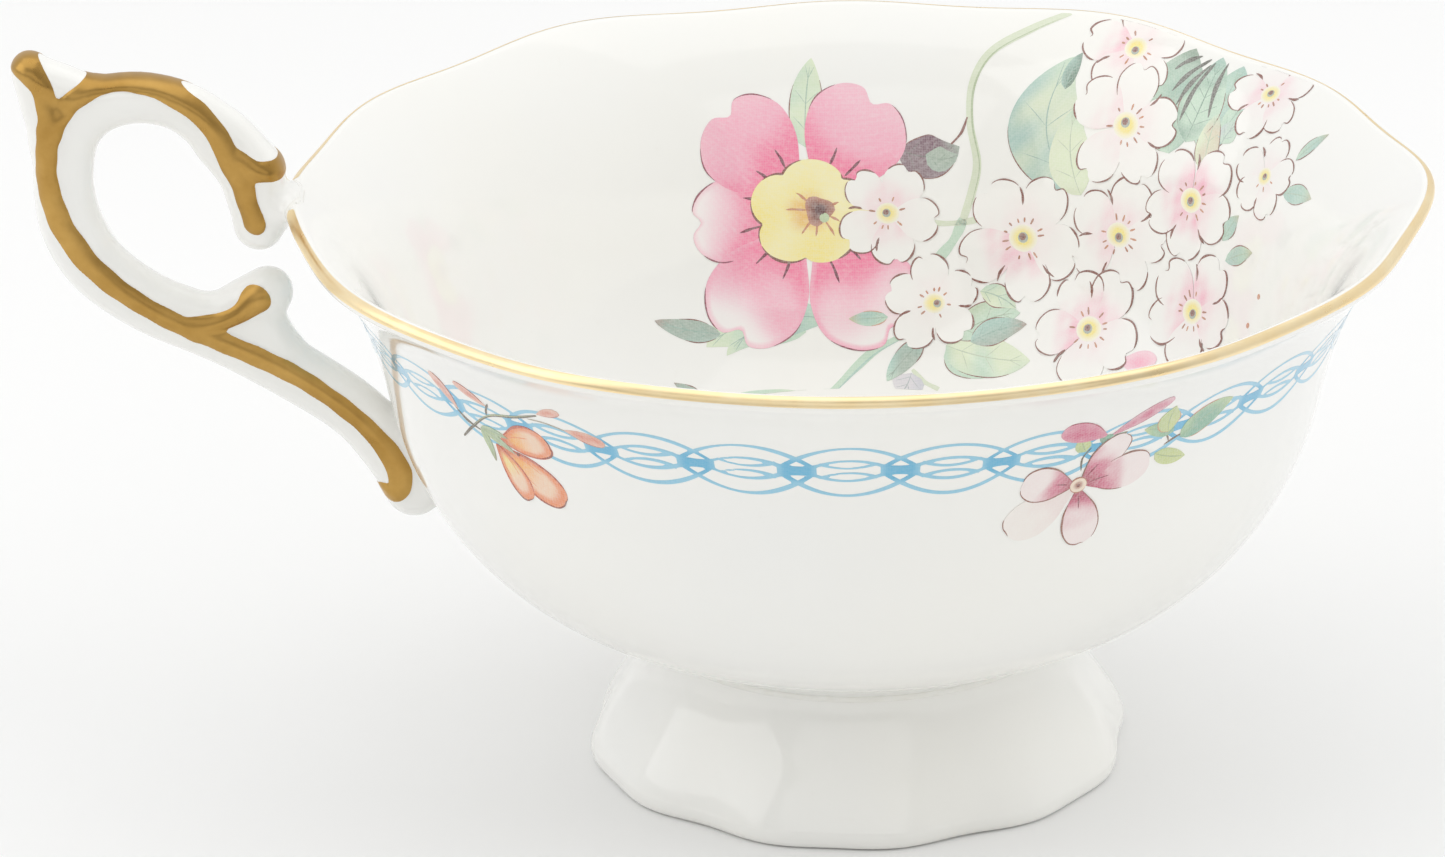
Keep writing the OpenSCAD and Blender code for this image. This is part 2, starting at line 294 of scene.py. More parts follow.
def clip(columns, triangles, value):
    """The part of a triangle mesh where the value is negative, cut along its zero line."""
    inside = value < 0
    count = inside[triangles].sum(1)
    kept = [triangles[count == 3]]
    cut_rows, cut_edges = [], []
    total = len(columns)

    def crossing(a, b):
        cut_edges.append(np.stack([a, b], 1))
        start = total + sum(len(e) for e in cut_edges[:-1])
        return np.arange(start, start + len(a))

    for wanted, lone_inside in ((1, True), (2, False)):
        chosen = triangles[count == wanted]
        lone = inside[chosen] == lone_inside
        turn = np.argmax(lone, 1)
        a, b, c = (chosen[np.arange(len(chosen)), (turn + i) % 3] for i in range(3))
        ab, ac = crossing(a, b), crossing(a, c)
        if lone_inside:
            cut_rows.append(np.stack([a, ab, ac], 1))
        else:
            cut_rows += [np.stack([ab, b, c], 1), np.stack([ab, c, ac], 1)]
    edges = np.concatenate(cut_edges)
    low, high = edges.min(1), edges.max(1)
    share = (value[low] / (value[low] - value[high]))[:, None]
    added = columns[low] * (1 - share) + columns[high] * share
    columns = np.concatenate([columns, added])
    triangles = np.concatenate(kept + cut_rows)
    # one point for each cut edge, and no unused points
    key = np.arange(len(columns))
    pair = low.astype(np.int64) * total + high
    unique, first, back = np.unique(pair, return_index=True, return_inverse=True)
    key[total:] = total + first[back.ravel()]
    triangles = key[triangles]
    used, new = np.unique(triangles, return_inverse=True)
    return columns[used], new.reshape(-1, 3)


# ---- materials ------------------------------------------------------------------------------------
def linear(rgb):
    """Linear colour from red, green and blue out of 255."""
    c = np.asarray(rgb, float) / 255
    return np.where(c <= 0.04045, c / 12.92, ((c + 0.055) / 1.055) ** 2.4)


CHINA_WHITE = np.array([0.93, 0.925, 0.89])


def ink(*rgb):
    """An enamel's colour as it shows on the china."""
    return linear(rgb) * CHINA_WHITE / linear((253, 252, 250))


class Shader:
    """A material with a Principled shader, and short ways to add texture nodes."""

    def __init__(self, name, **constants):
        self.material = bpy.data.materials.new(name)
        self.material.use_nodes = True
        self.tree = self.material.node_tree
        self.surface = next(n for n in self.tree.nodes if n.type == "BSDF_PRINCIPLED")
        for key, value in constants.items():
            self.surface.inputs[key.replace("_", " ")].default_value = value
        self.place = self.node("ShaderNodeTexCoord").outputs["Object"]

    def node(self, kind, **settings):
        made = self.tree.nodes.new(kind)
        for key, value in settings.items():
            setattr(made, key, value)
        return made

    def feed(self, source, target):
        if isinstance(source, (int, float, tuple, list)):
            target.default_value = source
        else:
            self.tree.links.new(source, target)

    def stretched(self, scale):
        mapping = self.node("ShaderNodeMapping")
        mapping.inputs["Scale"].default_value = scale
        self.feed(self.place, mapping.inputs["Vector"])
        return mapping.outputs["Vector"]

    def noise(self, scale, detail=2.0, rough=0.5, vector=None):
        made = self.node("ShaderNodeTexNoise")
        made.inputs["Scale"].default_value = scale
        made.inputs["Detail"].default_value = detail
        made.inputs["Roughness"].default_value = rough
        self.feed(vector or self.place, made.inputs["Vector"])
        return made.outputs["Fac"]

    def span(self, value, low, high, from_low=0.3, from_high=0.7):
        made = self.node("ShaderNodeMapRange")
        ends = {"From Min": from_low, "From Max": from_high, "To Min": low, "To Max": high}
        for key, number in ends.items():
            made.inputs[key].default_value = number
        self.feed(value, made.inputs["Value"])
        return made.outputs["Result"]

    def blend(self, factor, a, b, mode="MIX"):
        made = self.node("ShaderNodeMix", data_type="RGBA", blend_type=mode)
        self.feed(factor, made.inputs["Factor"])
        self.feed(a, made.inputs[6])
        self.feed(b, made.inputs[7])
        return made.outputs[2]

    def math(self, operation, a, b):
        made = self.node("ShaderNodeMath", operation=operation)
        self.feed(a, made.inputs[0])
        self.feed(b, made.inputs[1])
        return made.outputs[0]

    def colour(self, source):
        self.feed(source, self.surface.inputs["Base Color"])

    def roughness(self, source):
        self.feed(source, self.surface.inputs["Roughness"])

    def bump(self, height, strength, distance):
        made = self.node("ShaderNodeBump")
        made.inputs["Strength"].default_value = strength
        made.inputs["Distance"].default_value = distance
        self.feed(height, made.inputs["Height"])
        self.feed(made.outputs["Normal"], self.surface.inputs["Normal"])


def rgba(colour):
    return (float(colour[0]), float(colour[1]), float(colour[2]), 1.0)


def glaze(shader, colour, rough=(0.05, 0.09)):
    """Clear fired glaze over a colour: faint warm and cool drifts, and a slow ripple in the gloss."""
    drift = shader.span(shader.noise(28, 3.0), 0.0, 1.0)
    tinted = shader.blend(drift, (0.985, 0.99, 1.0, 1), (1.0, 0.996, 0.982, 1))
    shader.colour(shader.blend(1.0, colour, tinted, "MULTIPLY"))
    shader.roughness(shader.span(shader.noise(420, 2.0), rough[0], rough[1]))
    ripple = shader.noise(150, 1.5)
    shader.bump(ripple, 0.12, 0.00012)


def china_material():
    shader = Shader("bone_china_glazed", Coat_Weight=0.35, Coat_Roughness=0.03, IOR=1.5)
    specks = shader.span(shader.noise(900, 1.0), 0.0, 1.0, 0.73, 0.80)
    faint = shader.math("MULTIPLY", specks, 0.05)
    glaze(shader, shader.blend(faint, rgba(CHINA_WHITE), (0.80, 0.76, 0.68, 1)))
    return shader.material


def slip_material():
    shader = Shader("slip_under_glaze", Coat_Weight=0.35, Coat_Roughness=0.03, IOR=1.5)
    mottled = shader.blend(shader.span(shader.noise(600, 3.0), 0, 1), rgba(CHINA_WHITE),
                           rgba(CHINA_WHITE * [0.97, 0.965, 0.94]))
    glaze(shader, mottled)
    return shader.material


def biscuit_material():
    """Bare fired china on the foot's ring, sanded smooth, with a little tan from use."""
    shader = Shader("unglazed_china", Coat_Weight=0.0, IOR=1.45)
    grain = shader.noise(2600, 4.0, 0.7)
    stain = shader.span(shader.noise(70, 3.0), 0.0, 1.0, 0.5, 0.75)
    bare = shader.blend(shader.span(grain, 0, 1), (0.80, 0.78, 0.73, 1), (0.88, 0.865, 0.82, 1))
    shader.colour(shader.blend(shader.math("MULTIPLY", stain, 0.5), bare, (0.66, 0.58, 0.47, 1)))
    shader.roughness(shader.span(grain, 0.62, 0.85))
    shader.bump(grain, 0.35, 0.00005)
    return shader.material


def gold_material(name, bright, deep, rough, streak):
    """Burnished gold film: brush strokes, slow tone drifts and fine burnishing scratches."""
    shader = Shader(name, Metallic=1.0)
    strokes = shader.noise(1.0, 4.0, 0.6, shader.stretched(streak))
    drift = shader.noise(90, 3.0)
    tone = shader.span(shader.math("ADD", shader.math("MULTIPLY", strokes, 0.6),
                                   shader.math("MULTIPLY", drift, 0.4)), 0.0, 1.0, 0.35, 0.65)
    shader.colour(shader.blend(tone, rgba(deep), rgba(bright)))
    shader.roughness(shader.span(strokes, rough[0], rough[1]))
    shader.bump(strokes, 0.25, 0.00004)
    return shader.material


def enamel_material(name, dots=0.16):
    """Printed enamel: the ink that each point holds, broken up by a fine screen of dots."""
    shader = Shader(name, Coat_Weight=0.35, Coat_Roughness=0.03, IOR=1.5)
    own = shader.node("ShaderNodeAttribute", attribute_name="ink").outputs["Color"]
    cells = shader.node("ShaderNodeTexVoronoi")
    cells.inputs["Scale"].default_value = 4300
    cells.inputs["Randomness"].default_value = 0.35
    shader.feed(shader.place, cells.inputs["Vector"])
    screen = shader.span(cells.outputs["Distance"], 0.0, dots, 0.25, 0.7)
    grain = shader.span(shader.noise(2400, 3.0, 0.7), 0.0, dots, 0.45, 0.75)
    lighter = shader.math("ADD", screen, grain)
    glaze(shader, shader.blend(lighter, own, rgba(CHINA_WHITE)))
    return shader.material


CHINA = china_material()
SLIP = slip_material()
BISCUIT = biscuit_material()
RIM_GOLD = gold_material("rim_gold", (1.0, 0.85, 0.56), (0.97, 0.75, 0.41), (0.26, 0.38), (260, 260, 600))
# painted shade: the handle's gold is the rim's gold made much darker and browner, in place of the dim
# surroundings it would mirror
HANDLE_GOLD_PAINTED_SHADE = gold_material("handle_gold", (0.58, 0.355, 0.105), (0.42, 0.24, 0.06), (0.26, 0.38),
                            (260, 260, 260))


# ---- bowl and foot ---------------------------------------------------------------------------------
ANGLES = np.arange(AROUND) * 360 / AROUND


def bowl_outline():
    outer = outer_at(np.linspace(0, 2, 110))
    crown = crown_at(np.linspace(12, 168, 14), 0)
    inner = inner_at(np.linspace(2, 0.43, 90))
    well_z = JOINT_Z + BASE_T + 0.2
    end, before = inner[-1], inner[-2]
    slope = (end - before) / np.linalg.norm(end - before)
    well = bezier([end, end + slope * 9, [10, well_z], [0, well_z]], np.linspace(0, 1, 26))[1:]
    base = np.array([[0, BOWL_BASE], [8, BOWL_BASE], [14, BOWL_BASE], [18, BOWL_BASE],
                     [JOINT_R - 0.25, BOWL_BASE], [JOINT_R, BOWL_BASE + 0.15]])
    return np.concatenate([base, outer, crown, inner, well])


def make_bowl():
    """The bowl, turned from an outline that starts and ends on the axis."""
    line = bowl_outline()
    ring = on_cup(line[1:-1, None, :], ANGLES[None, :]).reshape(-1, 3)
    n = len(ring)
    rows = len(line) - 2
    centre = np.array([[0, 0, line[0, 1]], [0, 0, line[-1, 1]]])
    k = np.arange(AROUND)
    m = (k + 1) % AROUND
    # a fan of triangles closes each end of the outline at the axis
    low = np.stack([np.full(AROUND, n), m, k], 1)
    high = np.stack([(rows - 1) * AROUND + k, (rows - 1) * AROUND + m, np.full(AROUND, n + 1)], 1)
    triangles = np.concatenate([halved(turned_quads(rows, AROUND)), low, high])
    piece = mesh_piece("bowl_china", np.concatenate([ring, centre]), triangles, [CHINA])
    finish_piece(piece, "bone_china", "bowl")


make_bowl()


def on_foot(line, a):
    z = line[..., 1]
    size = np.clip(1 - z / FOOT_TOP, 0, 1) ** 1.3
    turn = np.radians(LOBES * (a - FOOT_TURN))
    r = line[..., 0] + size * (FOOT_BIG_LOBE * np.cos(turn) - FOOT_SMALL_LOBE * np.cos(2 * turn))
    x, y = r * np.cos(np.radians(a)), r * np.sin(np.radians(a))
    return np.stack([x, y, z + 0 * x], -1)


def foot_outline():
    """The foot's tube: up the outer face, over the top, down the hollow and round the ground ring."""
    t = np.linspace(1, 0, 50)
    outer = bezier([[JOINT_R - 0.1, FOOT_TOP], [JOINT_R + 0.2, 8.5], [FOOT_R - 1.5, 6], [FOOT_R, 1.7]], t)
    toe = smooth_path([[FOOT_R - 0.95, 0.03], [FOOT_R - 0.45, 0.16], [FOOT_R - 0.12, 0.6], [FOOT_R, 1.2],
                       outer[0]], 4)[:-1]
    hollow = outer[::-1] - [FOOT_WALL, 0]
    heel = smooth_path([hollow[-1], [FOOT_R - FOOT_WALL - 0.02, 1.0], [FOOT_R - FOOT_WALL + 0.12, 0.4],
                        [FOOT_R - FOOT_WALL + 0.42, 0.04]], 4)[1:]
    ring = np.array([[FOOT_R - FOOT_WALL + 0.7, 0], [FOOT_R - 1.2, 0]])
    return np.concatenate([toe, outer, hollow, heel, ring])


def make_foot():
    line = foot_outline()
    ring = on_foot(line[:, None, :], ANGLES[None, :]).reshape(-1, 3)
    quads = turned_quads(len(line) + 1, AROUND) % len(ring)
    bare = (line[quads[:, 0] // AROUND, 1] < 0.1) & (line[quads[:, 2] // AROUND, 1] < 0.1)
    piece = mesh_piece("pedestal_foot_china", ring, quads, [CHINA, BISCUIT], slots=bare)
    finish_piece(piece, "bone_china", "pedestal_foot")


make_foot()


def make_foot_slip():
    """The ring of slip between bowl and foot, smoothed flush with a wet brush."""
    a = np.radians(np.linspace(-90, 90, 9))
    mid, half = (FOOT_TOP + BOWL_BASE) / 2, (BOWL_BASE - FOOT_TOP) / 2
    bulge = np.stack([JOINT_R - 0.12 + 0.1 * np.cos(a), mid + (half + 0.12) * np.sin(a)], 1)
    inner = np.array([[JOINT_R - 0.6, mid + half], [JOINT_R - 3.1, mid + half - 0.02],
                      [JOINT_R - 3.2, mid], [JOINT_R - 3.1, mid - half + 0.02], [JOINT_R - 0.6, mid - half]])
    line = np.concatenate([bulge, inner])
    a = np.radians(ANGLES)[None, :]
    r, z = line[:, 0, None], line[:, 1, None]
    ring = np.stack([r * np.cos(a), r * np.sin(a), z + 0 * a], -1).reshape(-1, 3)
    quads = turned_quads(len(line) + 1, AROUND) % len(ring)
    finish_piece(mesh_piece("foot_slip", ring, quads, [SLIP]), "fired_slip", "foot_slip_ring")


make_foot_slip()


# ---- rim gilding ------------------------------------------------------------------------------------
def wave(angle, seed, terms=6, low=3):
    """A slow wobble round the cup, between about -1 and 1, that closes on itself."""
    random = np.random.default_rng(seed)
    total = 0
    for i in range(terms):
        total = total + random.normal() * np.cos(np.radians((low + 2 * i) * angle) + random.uniform(0, 6.3))
    return total / math.sqrt(terms)


def make_rim_gilding():
    """A brushed line of gold over the lip, from one side of the handle's root round to the other."""
    start, end = 184.3, 535.7
    angle = np.linspace(start, end, 1100)
    from_end = np.minimum(angle - start, end - angle) * math.radians(1) * RIM_R
    blunt = np.sqrt(np.clip(1 - (1 - np.clip(from_end / 0.8, 0, 1)) ** 2, 0.001, 1))
    # the gold covers the lip's crown from about 52 to about 134 degrees, with brushed edges
    low = 52 + 2.5 * wave(angle, 1, low=11)
    high = 134 + 4.5 * wave(angle, 2, low=7)
    middle, half = (low + high) / 2, (high - low) / 2 * blunt
    share = np.linspace(-1, 1, 11)
    t = middle[None, :] + half[None, :] * share[:, None]
    plates = []
    for gap in (GOLD_LIFT, FILM_BOTTOM):
        line = crown_at(t.ravel(), gap).reshape(t.shape + (2,))
        plates.append(on_cup(line, angle[None, :]).reshape(-1, 3))
    points, faces = closed_plate(plates[0], plates[1], grid_triangles(len(share), len(angle)))
    finish_piece(mesh_piece("rim_gold_line", points, faces, [RIM_GOLD]), "gold", "rim_gilding")


make_rim_gilding()


# ---- handle -------------------------------------------------------------------------------------------
# Beads of each stroke: [distance out from the cup's axis, height, radius].
BODY = [
    [[77.1, 69.9, 1.55], [75.8, 66.5, 2.15], [74.2, 62.5, 2.8], [74.2, 58.0, 2.85], [73.5, 54.0, 3.0],
     [71.2, 50.0, 2.95], [66.5, 46.3, 2.85], [59.7, 43.2, 2.95], [52.7, 38.9, 2.8], [47.4, 35.0, 2.75],
     [43.9, 30.6, 2.85], [42.1, 27.3, 2.9]],
    [[74.2, 62.8, 2.9], [71.4, 65.8, 2.65], [67.6, 66.9, 2.35], [63.6, 66.3, 2.3], [60.6, 64.4, 2.55],
     [58.0, 61.3, 2.75], [56.6, 58.0, 2.6], [56.0, 54.2, 2.4]],
    [[60.5, 44.1, 2.6], [57.6, 46.0, 2.5], [55.4, 47.3, 2.4]],
    [[56.2, 44.0, 2.6], [54.6, 41.6, 2.2]],
    [[76.2, 69.4, 1.7], [74.3, 68.4, 2.0], [71.8, 67.2, 2.0]],
    [[59.0, 62.6, 2.6], [55.8, 59.4, 2.5]],
    [[56.2, 57.4, 2.3], [54.9, 56.0, 2.3]],
]
GILDING = [
    [[77.5, 71.1, 1.3], [76.6, 70.1, 1.15], [75.6, 68.6, 1.0], [75.2, 66.0, 1.0], [75.4, 63.5, 1.05],
     [75.6, 60.5, 1.0], [75.3, 58.0, 1.05], [74.75, 56.0, 1.1], [73.8, 54.0, 1.1], [72.2, 51.5, 1.1],
     [70.0, 49.2, 1.0], [67.0, 46.9, 0.95], [64.0, 45.1, 0.95], [60.0, 43.2, 0.95], [56.0, 41.3, 0.95],
     [52.0, 39.0, 0.9], [48.0, 35.8, 0.85], [46.0, 33.8, 0.88], [44.2, 31.3, 1.05], [43.4, 29.5, 1.15],
     [43.4, 28.1, 1.05], [44.0, 27.3, 0.95], [45.1, 27.7, 0.6]],
    [[75.0, 64.4, 1.0], [74.0, 66.2, 1.0], [72.6, 67.6, 0.95], [70.6, 68.8, 0.95], [68.5, 69.2, 0.92],
     [66.5, 69.0, 0.92], [64.5, 68.3, 0.92], [62.5, 67.1, 0.92], [60.7, 65.6, 0.95], [59.3, 63.5, 1.0],
     [58.3, 61.2, 1.1], [57.4, 59.2, 1.1], [56.8, 57.0, 1.0], [56.25, 55.1, 1.05]],
    [[62.0, 44.6, 1.1], [59.4, 45.3, 0.85], [57.8, 46.1, 0.95], [56.45, 47.3, 1.4]],
    [[57.6, 61.2, 1.15], [56.2, 60.4, 1.0], [54.8, 60.3, 0.95], [53.9, 60.3, 0.9]],
]
EDGE_ROUND = 2.2                            # how far in from its outline its face starts to round off
EDGE_POWER = 2.3                            # 2 would round the edge off as a circle, more is squarer
JOINT_DEPTH = 0.2                           # how far casting and slip go into the bowl's wall
SLIP_REACH = 0.4                            # how far off the bowl's glaze the slip ends
TUCK = 0.12                                 # how far casting and slip dive under each other
JOINT_DIP = 0.9                             # how far the joint's surface sinks away from the handle
NET_STEP, SLIP_NET_STEP = 0.3, 0.25


def stroke_distance(x, z, beads):
    """Distance to a round stroke of changing width, negative inside it."""
    line = smooth_path(beads, 5)
    best = np.full(np.shape(x), 1e9)
    for (ax, az, ar), (bx, bz, br) in zip(line[:-1], line[1:]):
        dx, dz = bx - ax, bz - az
        t = np.clip(((x - ax) * dx + (z - az) * dz) / (dx * dx + dz * dz), 0, 1)
        best = np.minimum(best, np.hypot(x - ax - t * dx, z - az - t * dz) - (ar + t * (br - ar)))
    return best


def smooth_union(a, b, reach):
    h = np.clip(reach - np.abs(a - b), 0, None) / reach
    return np.minimum(a, b) - h * h * reach / 4


def strokes_distance(x, z, strokes, reach):
    total = stroke_distance(x, z, strokes[0])
    for beads in strokes[1:]:
        total = smooth_union(total, stroke_distance(x, z, beads), reach)
    return total


class Table:
    """A function of two numbers, worked out once on a fine grid and read back between its points."""

    def __init__(self, work, low, high, step=0.1):
        self.low, self.step = np.array(low, float), step
        axes = [np.arange(a, b, step) for a, b in zip(low, high)]
        self.rows = work(*np.meshgrid(*axes, indexing="ij"))

    def __call__(self, x, y):
        last = np.array(self.rows.shape) - 1.001
        i = np.clip((x - self.low[0]) / self.step, 0, last[0])
        k = np.clip((y - self.low[1]) / self.step, 0, last[1])
        column, row = i.astype(int), k.astype(int)
        across, along = i - column, k - row
        low = self.rows[column, row] * (1 - across) + self.rows[column + 1, row] * across
        high = self.rows[column, row + 1] * (1 - across) + self.rows[column + 1, row + 1] * across
        return low * (1 - along) + high * along


def gilding_work(x, z):
    wobble = 0.03 * (np.sin(1.9 * x + 0.7 * z) + np.sin(2.7 * z - 1.1 * x + 2))
    return strokes_distance(x, z, GILDING, 0.7) + wobble


HANDLE_CORNERS = (32, 20), (82, 76)
silhouette = Table(lambda x, z: strokes_distance(x, z, BODY, 1.1), *HANDLE_CORNERS)
gilt_distance = Table(gilding_work, *HANDLE_CORNERS)


def outline_distance(outline, r, z):
    """Signed distance to a closed outline, negative inside it."""
    best = np.full(r.shape, 1e9)
    inside = np.zeros(r.shape, bool)
    for (ar, az), (br, bz) in zip(outline, np.roll(outline, -1, 0)):
        dr, dz = br - ar, bz - az
        t = np.clip(((r - ar) * dr + (z - az) * dz) / (dr * dr + dz * dz + 1e-12), 0, 1)
        best = np.minimum(best, np.hypot(r - ar - t * dr, z - az - t * dz))
        if dz != 0:
            across = (az > z) != (bz > z)
            inside ^= across & (r < ar + (z - az) * dr / dz)
    return np.where(inside, -best, best)


def bowl_work(r, z):
    wall = np.concatenate([outer_at(np.linspace(0.4, 2, 90)), crown_at(np.linspace(15, 165, 11), 0),
                           inner_at(np.linspace(2, 0.4, 70))])
    return outline_distance(wall, r, z)


turned_bowl = Table(bowl_work, (32, 20), (64, 64))


def bowl_distance(x, y, z):
    """Signed distance to the lobed bowl near the handle."""
    out, up = lobe_shift(np.degrees(np.arctan2(y, x)), z)
    return turned_bowl(np.hypot(x, y) - out, z - up)


def handle_body(x, y, z):
    """The casting with its rounded edges and its domed ribs, before it meets the bowl."""
    out = -x
    deep = -silhouette(out, z)
    gilt = -gilt_distance(out, z)
    dome = 1 - (1 - np.clip(gilt / 1.3, 0, 1)) ** 2
    rib = RIB_H * (0.25 * smoothstep(gilt / 0.25 + 0.3) + 0.85 * dome)
    root = smoothstep((58 - out) / 4) * smoothstep((z - 50) / 3)
    half = HANDLE_T / 2 + (ROOT_T - HANDLE_T) / 2 * root + rib
    u = np.clip((EDGE_ROUND - deep) / EDGE_ROUND, 0, None)
    v = np.abs(y) / half
    rounded = (u ** EDGE_POWER + v ** EDGE_POWER + 1e-9) ** (1 / EDGE_POWER)
    return (rounded - 1) * np.minimum(half, EDGE_ROUND)


def joined(x, y, z):
    """The casting smoothed into the bowl with fillets of slip."""
    reach = 1.0 + 1.0 * smoothstep((z - 46) / 8)
    return smooth_union(handle_body(x, y, z), bowl_distance(x, y, z), reach)


def dip(x, y, z):
    """How far the joint's surface sinks below the glaze, away from the handle."""
    return JOINT_DIP * smoothstep((handle_body(x, y, z) - 1.0) / 0.9)


def handle_field(x, y, z):
    """The casting, which dives under the slip close to the bowl."""
    layer = bowl_distance(x, y, z)
    under_slip = TUCK * (1 - smoothstep((layer - 0.05) / 0.25))
    return np.maximum(joined(x, y, z) + under_slip + dip(x, y, z), -JOINT_DEPTH - layer)


def slip_field(x, y, z):
    """The layer of slip on the bowl, which dives under the casting further out."""
    layer = bowl_distance(x, y, z)
    under_handle = TUCK * smoothstep((layer - 0.05) / 0.25)
    within = np.maximum(layer - SLIP_REACH, -JOINT_DEPTH - layer)
    return np.maximum(joined(x, y, z) + under_handle + dip(x, y, z), within)


def largest_part(points, quads):
    """Drops loose specks: keeps only the largest set of quads that hang together."""
    label = np.arange(len(points))
    while True:
        lower = label.copy()
        np.minimum.at(lower, quads.ravel(), np.repeat(label[quads].min(1), 4))
        lower = lower[lower]
        if (lower == label).all():
            break
        label = lower
    owner = label[quads[:, 0]]
    used, kept = np.unique(quads[owner == np.bincount(owner).argmax()], return_inverse=True)
    return points[used], kept.reshape(-1, 4)


def surface_net(field, low, high, step):
    """Points and quads over the zero surface of a field inside a box that holds all of it."""
    axes = [np.arange(a, b + step, step) for a, b in zip(low, high)]
    value = field(*np.meshgrid(*axes, indexing="ij"))
    cells = tuple(n - 1 for n in value.shape)
    size = int(np.prod(cells))
    total, count, quads = np.zeros((3, size)), np.zeros(size), []
    for axis in range(3):
        first, second = [slice(None)] * 3, [slice(None)] * 3
        first[axis], second[axis] = slice(0, -1), slice(1, None)
        a, b = value[tuple(first)], value[tuple(second)]
        at = np.argwhere((a < 0) != (b < 0))
        a, b = a[tuple(at.T)], b[tuple(at.T)]
        crossing = at.astype(float)
        crossing[:, axis] += a / (a - b)
        others = [i for i in range(3) if i != axis]
        corners = []
        for shift in ((0, 0), (-1, 0), (-1, -1), (0, -1)):
            cell = at.copy()
            cell[:, others] += shift
            index = np.ravel_multi_index(cell.T, cells, mode="clip")
            corners.append(index)
            count += np.bincount(index, minlength=size)
            for i in range(3):
                total[i] += np.bincount(index, crossing[:, i], minlength=size)
        quad = np.stack(corners, 1)
        backward = (a >= 0) != (axis == 1)
        quad[backward] = quad[backward, ::-1]
        quads.append(quad)
    quads = np.concatenate(quads)
    used, quads = np.unique(quads, return_inverse=True)
    points = (total[:, used] / count[used]).T * step + np.asarray(low)
    return largest_part(points, quads.reshape(-1, 4))


def gradient(field, p, step=0.05):
    parts = []
    for i in range(3):
        shift = np.zeros(3)
        shift[i] = step
        parts.append(field(*(p + shift).T) - field(*(p - shift).T))
    return np.stack(parts, 1) / (2 * step)


def settle(field, points, rounds=3):
    """Moves points onto the zero surface of a field, and gives the surface's normals there."""
    for _ in range(rounds):
        slope = gradient(field, points)
        push = field(*points.T) / np.maximum((slope ** 2).sum(1), 0.05)
        points = points - np.clip(push, -0.3, 0.3)[:, None] * slope
    slope = gradient(field, points)
    return points, slope / np.linalg.norm(slope, axis=1)[:, None]


def make_handle():
    """The casting, and the gold film on each half of it."""
    points, quads = surface_net(handle_field, (-82, -6, 21.5), (-36, 6, 75), NET_STEP)
    points, normals = settle(handle_field, points)
    triangles = halved(quads)
    finish_piece(mesh_piece("handle_china", points, triangles, [CHINA]), "bone_china", "handle")
    gilt = gilt_distance(-points[:, 0], points[:, 2])
    sheet, faces = clip(np.concatenate([points, normals], 1), triangles, gilt)
    for side, name in ((1, "front"), (-1, "back")):
        half, half_faces = clip(sheet, faces, side * sheet[:, 1])
        at, normal = half[:, :3], half[:, 3:]
        film, film_faces = closed_plate(at + GOLD_LIFT * normal, at - GOLD_SINK * normal, half_faces)
        gold = mesh_piece("handle_gold_" + name, film, film_faces, [HANDLE_GOLD_PAINTED_SHADE])
        finish_piece(gold, "gold", "handle_gilding_" + name)


def make_slip(name, node, low, high):
    points, quads = surface_net(slip_field, low, high, SLIP_NET_STEP)
    points, _ = settle(slip_field, points, 2)
    finish_piece(mesh_piece(name, points, halved(quads), [SLIP]), "fired_slip", node)


make_handle()
make_slip("upper_slip_joint", "upper_handle_slip", (-60, -9, 44), (-44, 9, 63))
make_slip("lower_slip_joint", "lower_handle_slip", (-54, -7, 19), (-33, 7, 43))


# ---- printed enamel -----------------------------------------------------------------------------------
WHITE = ink(253, 251, 249)
BROWN, SOFT_BROWN, EYE_BROWN = ink(136, 80, 68), ink(212, 150, 116), ink(132, 88, 82)
DEEP_PINK, PINK, PALE_PINK = ink(252, 132, 170), ink(252, 178, 202), ink(253, 228, 235)
YELLOW, PALE_YELLOW = ink(253, 236, 146), ink(254, 247, 200)
SAGE, TEAL = ink(202, 226, 206), ink(176, 208, 198)
LIGHT_GREEN, DARK_GREEN = ink(230, 240, 210), ink(118, 144, 128)
PLUM, GREY_GREEN, STEM_GREEN = ink(132, 100, 114), ink(174, 190, 178), ink(224, 232, 208)


def mix(a, b, share):
    return a + (b - a) * np.clip(share, 0, 1)[..., None]


def clouds(flat, seed, size):
    """Soft patches between about -1 and 1, as in a watercolour wash."""
    random = np.random.default_rng(seed)
    total = 0
    for _ in range(5):
        way = random.normal(size=2) / size
        total = total + np.sin(flat @ way * 2.5 + random.uniform(0, 6.3))
    return total / 2.5


class Board:
    """A small flat drawing board laid on a face: x to a viewer's right and y towards the rim."""

    def __init__(self, face, angle, depth):
        self.face, self.angle, self.depth = face, angle, depth

    def spot(self, angle, depth):
        across = self.face.right * math.radians(angle - self.angle) * self.face.radius(depth)
        return across, self.depth - depth

    def lay(self, flat, lift):
        depth = self.depth - flat[:, 1]
        angle = self.angle + self.face.right * np.degrees(flat[:, 0] / self.face.radius(depth))
        return self.face.point(angle, depth, lift)


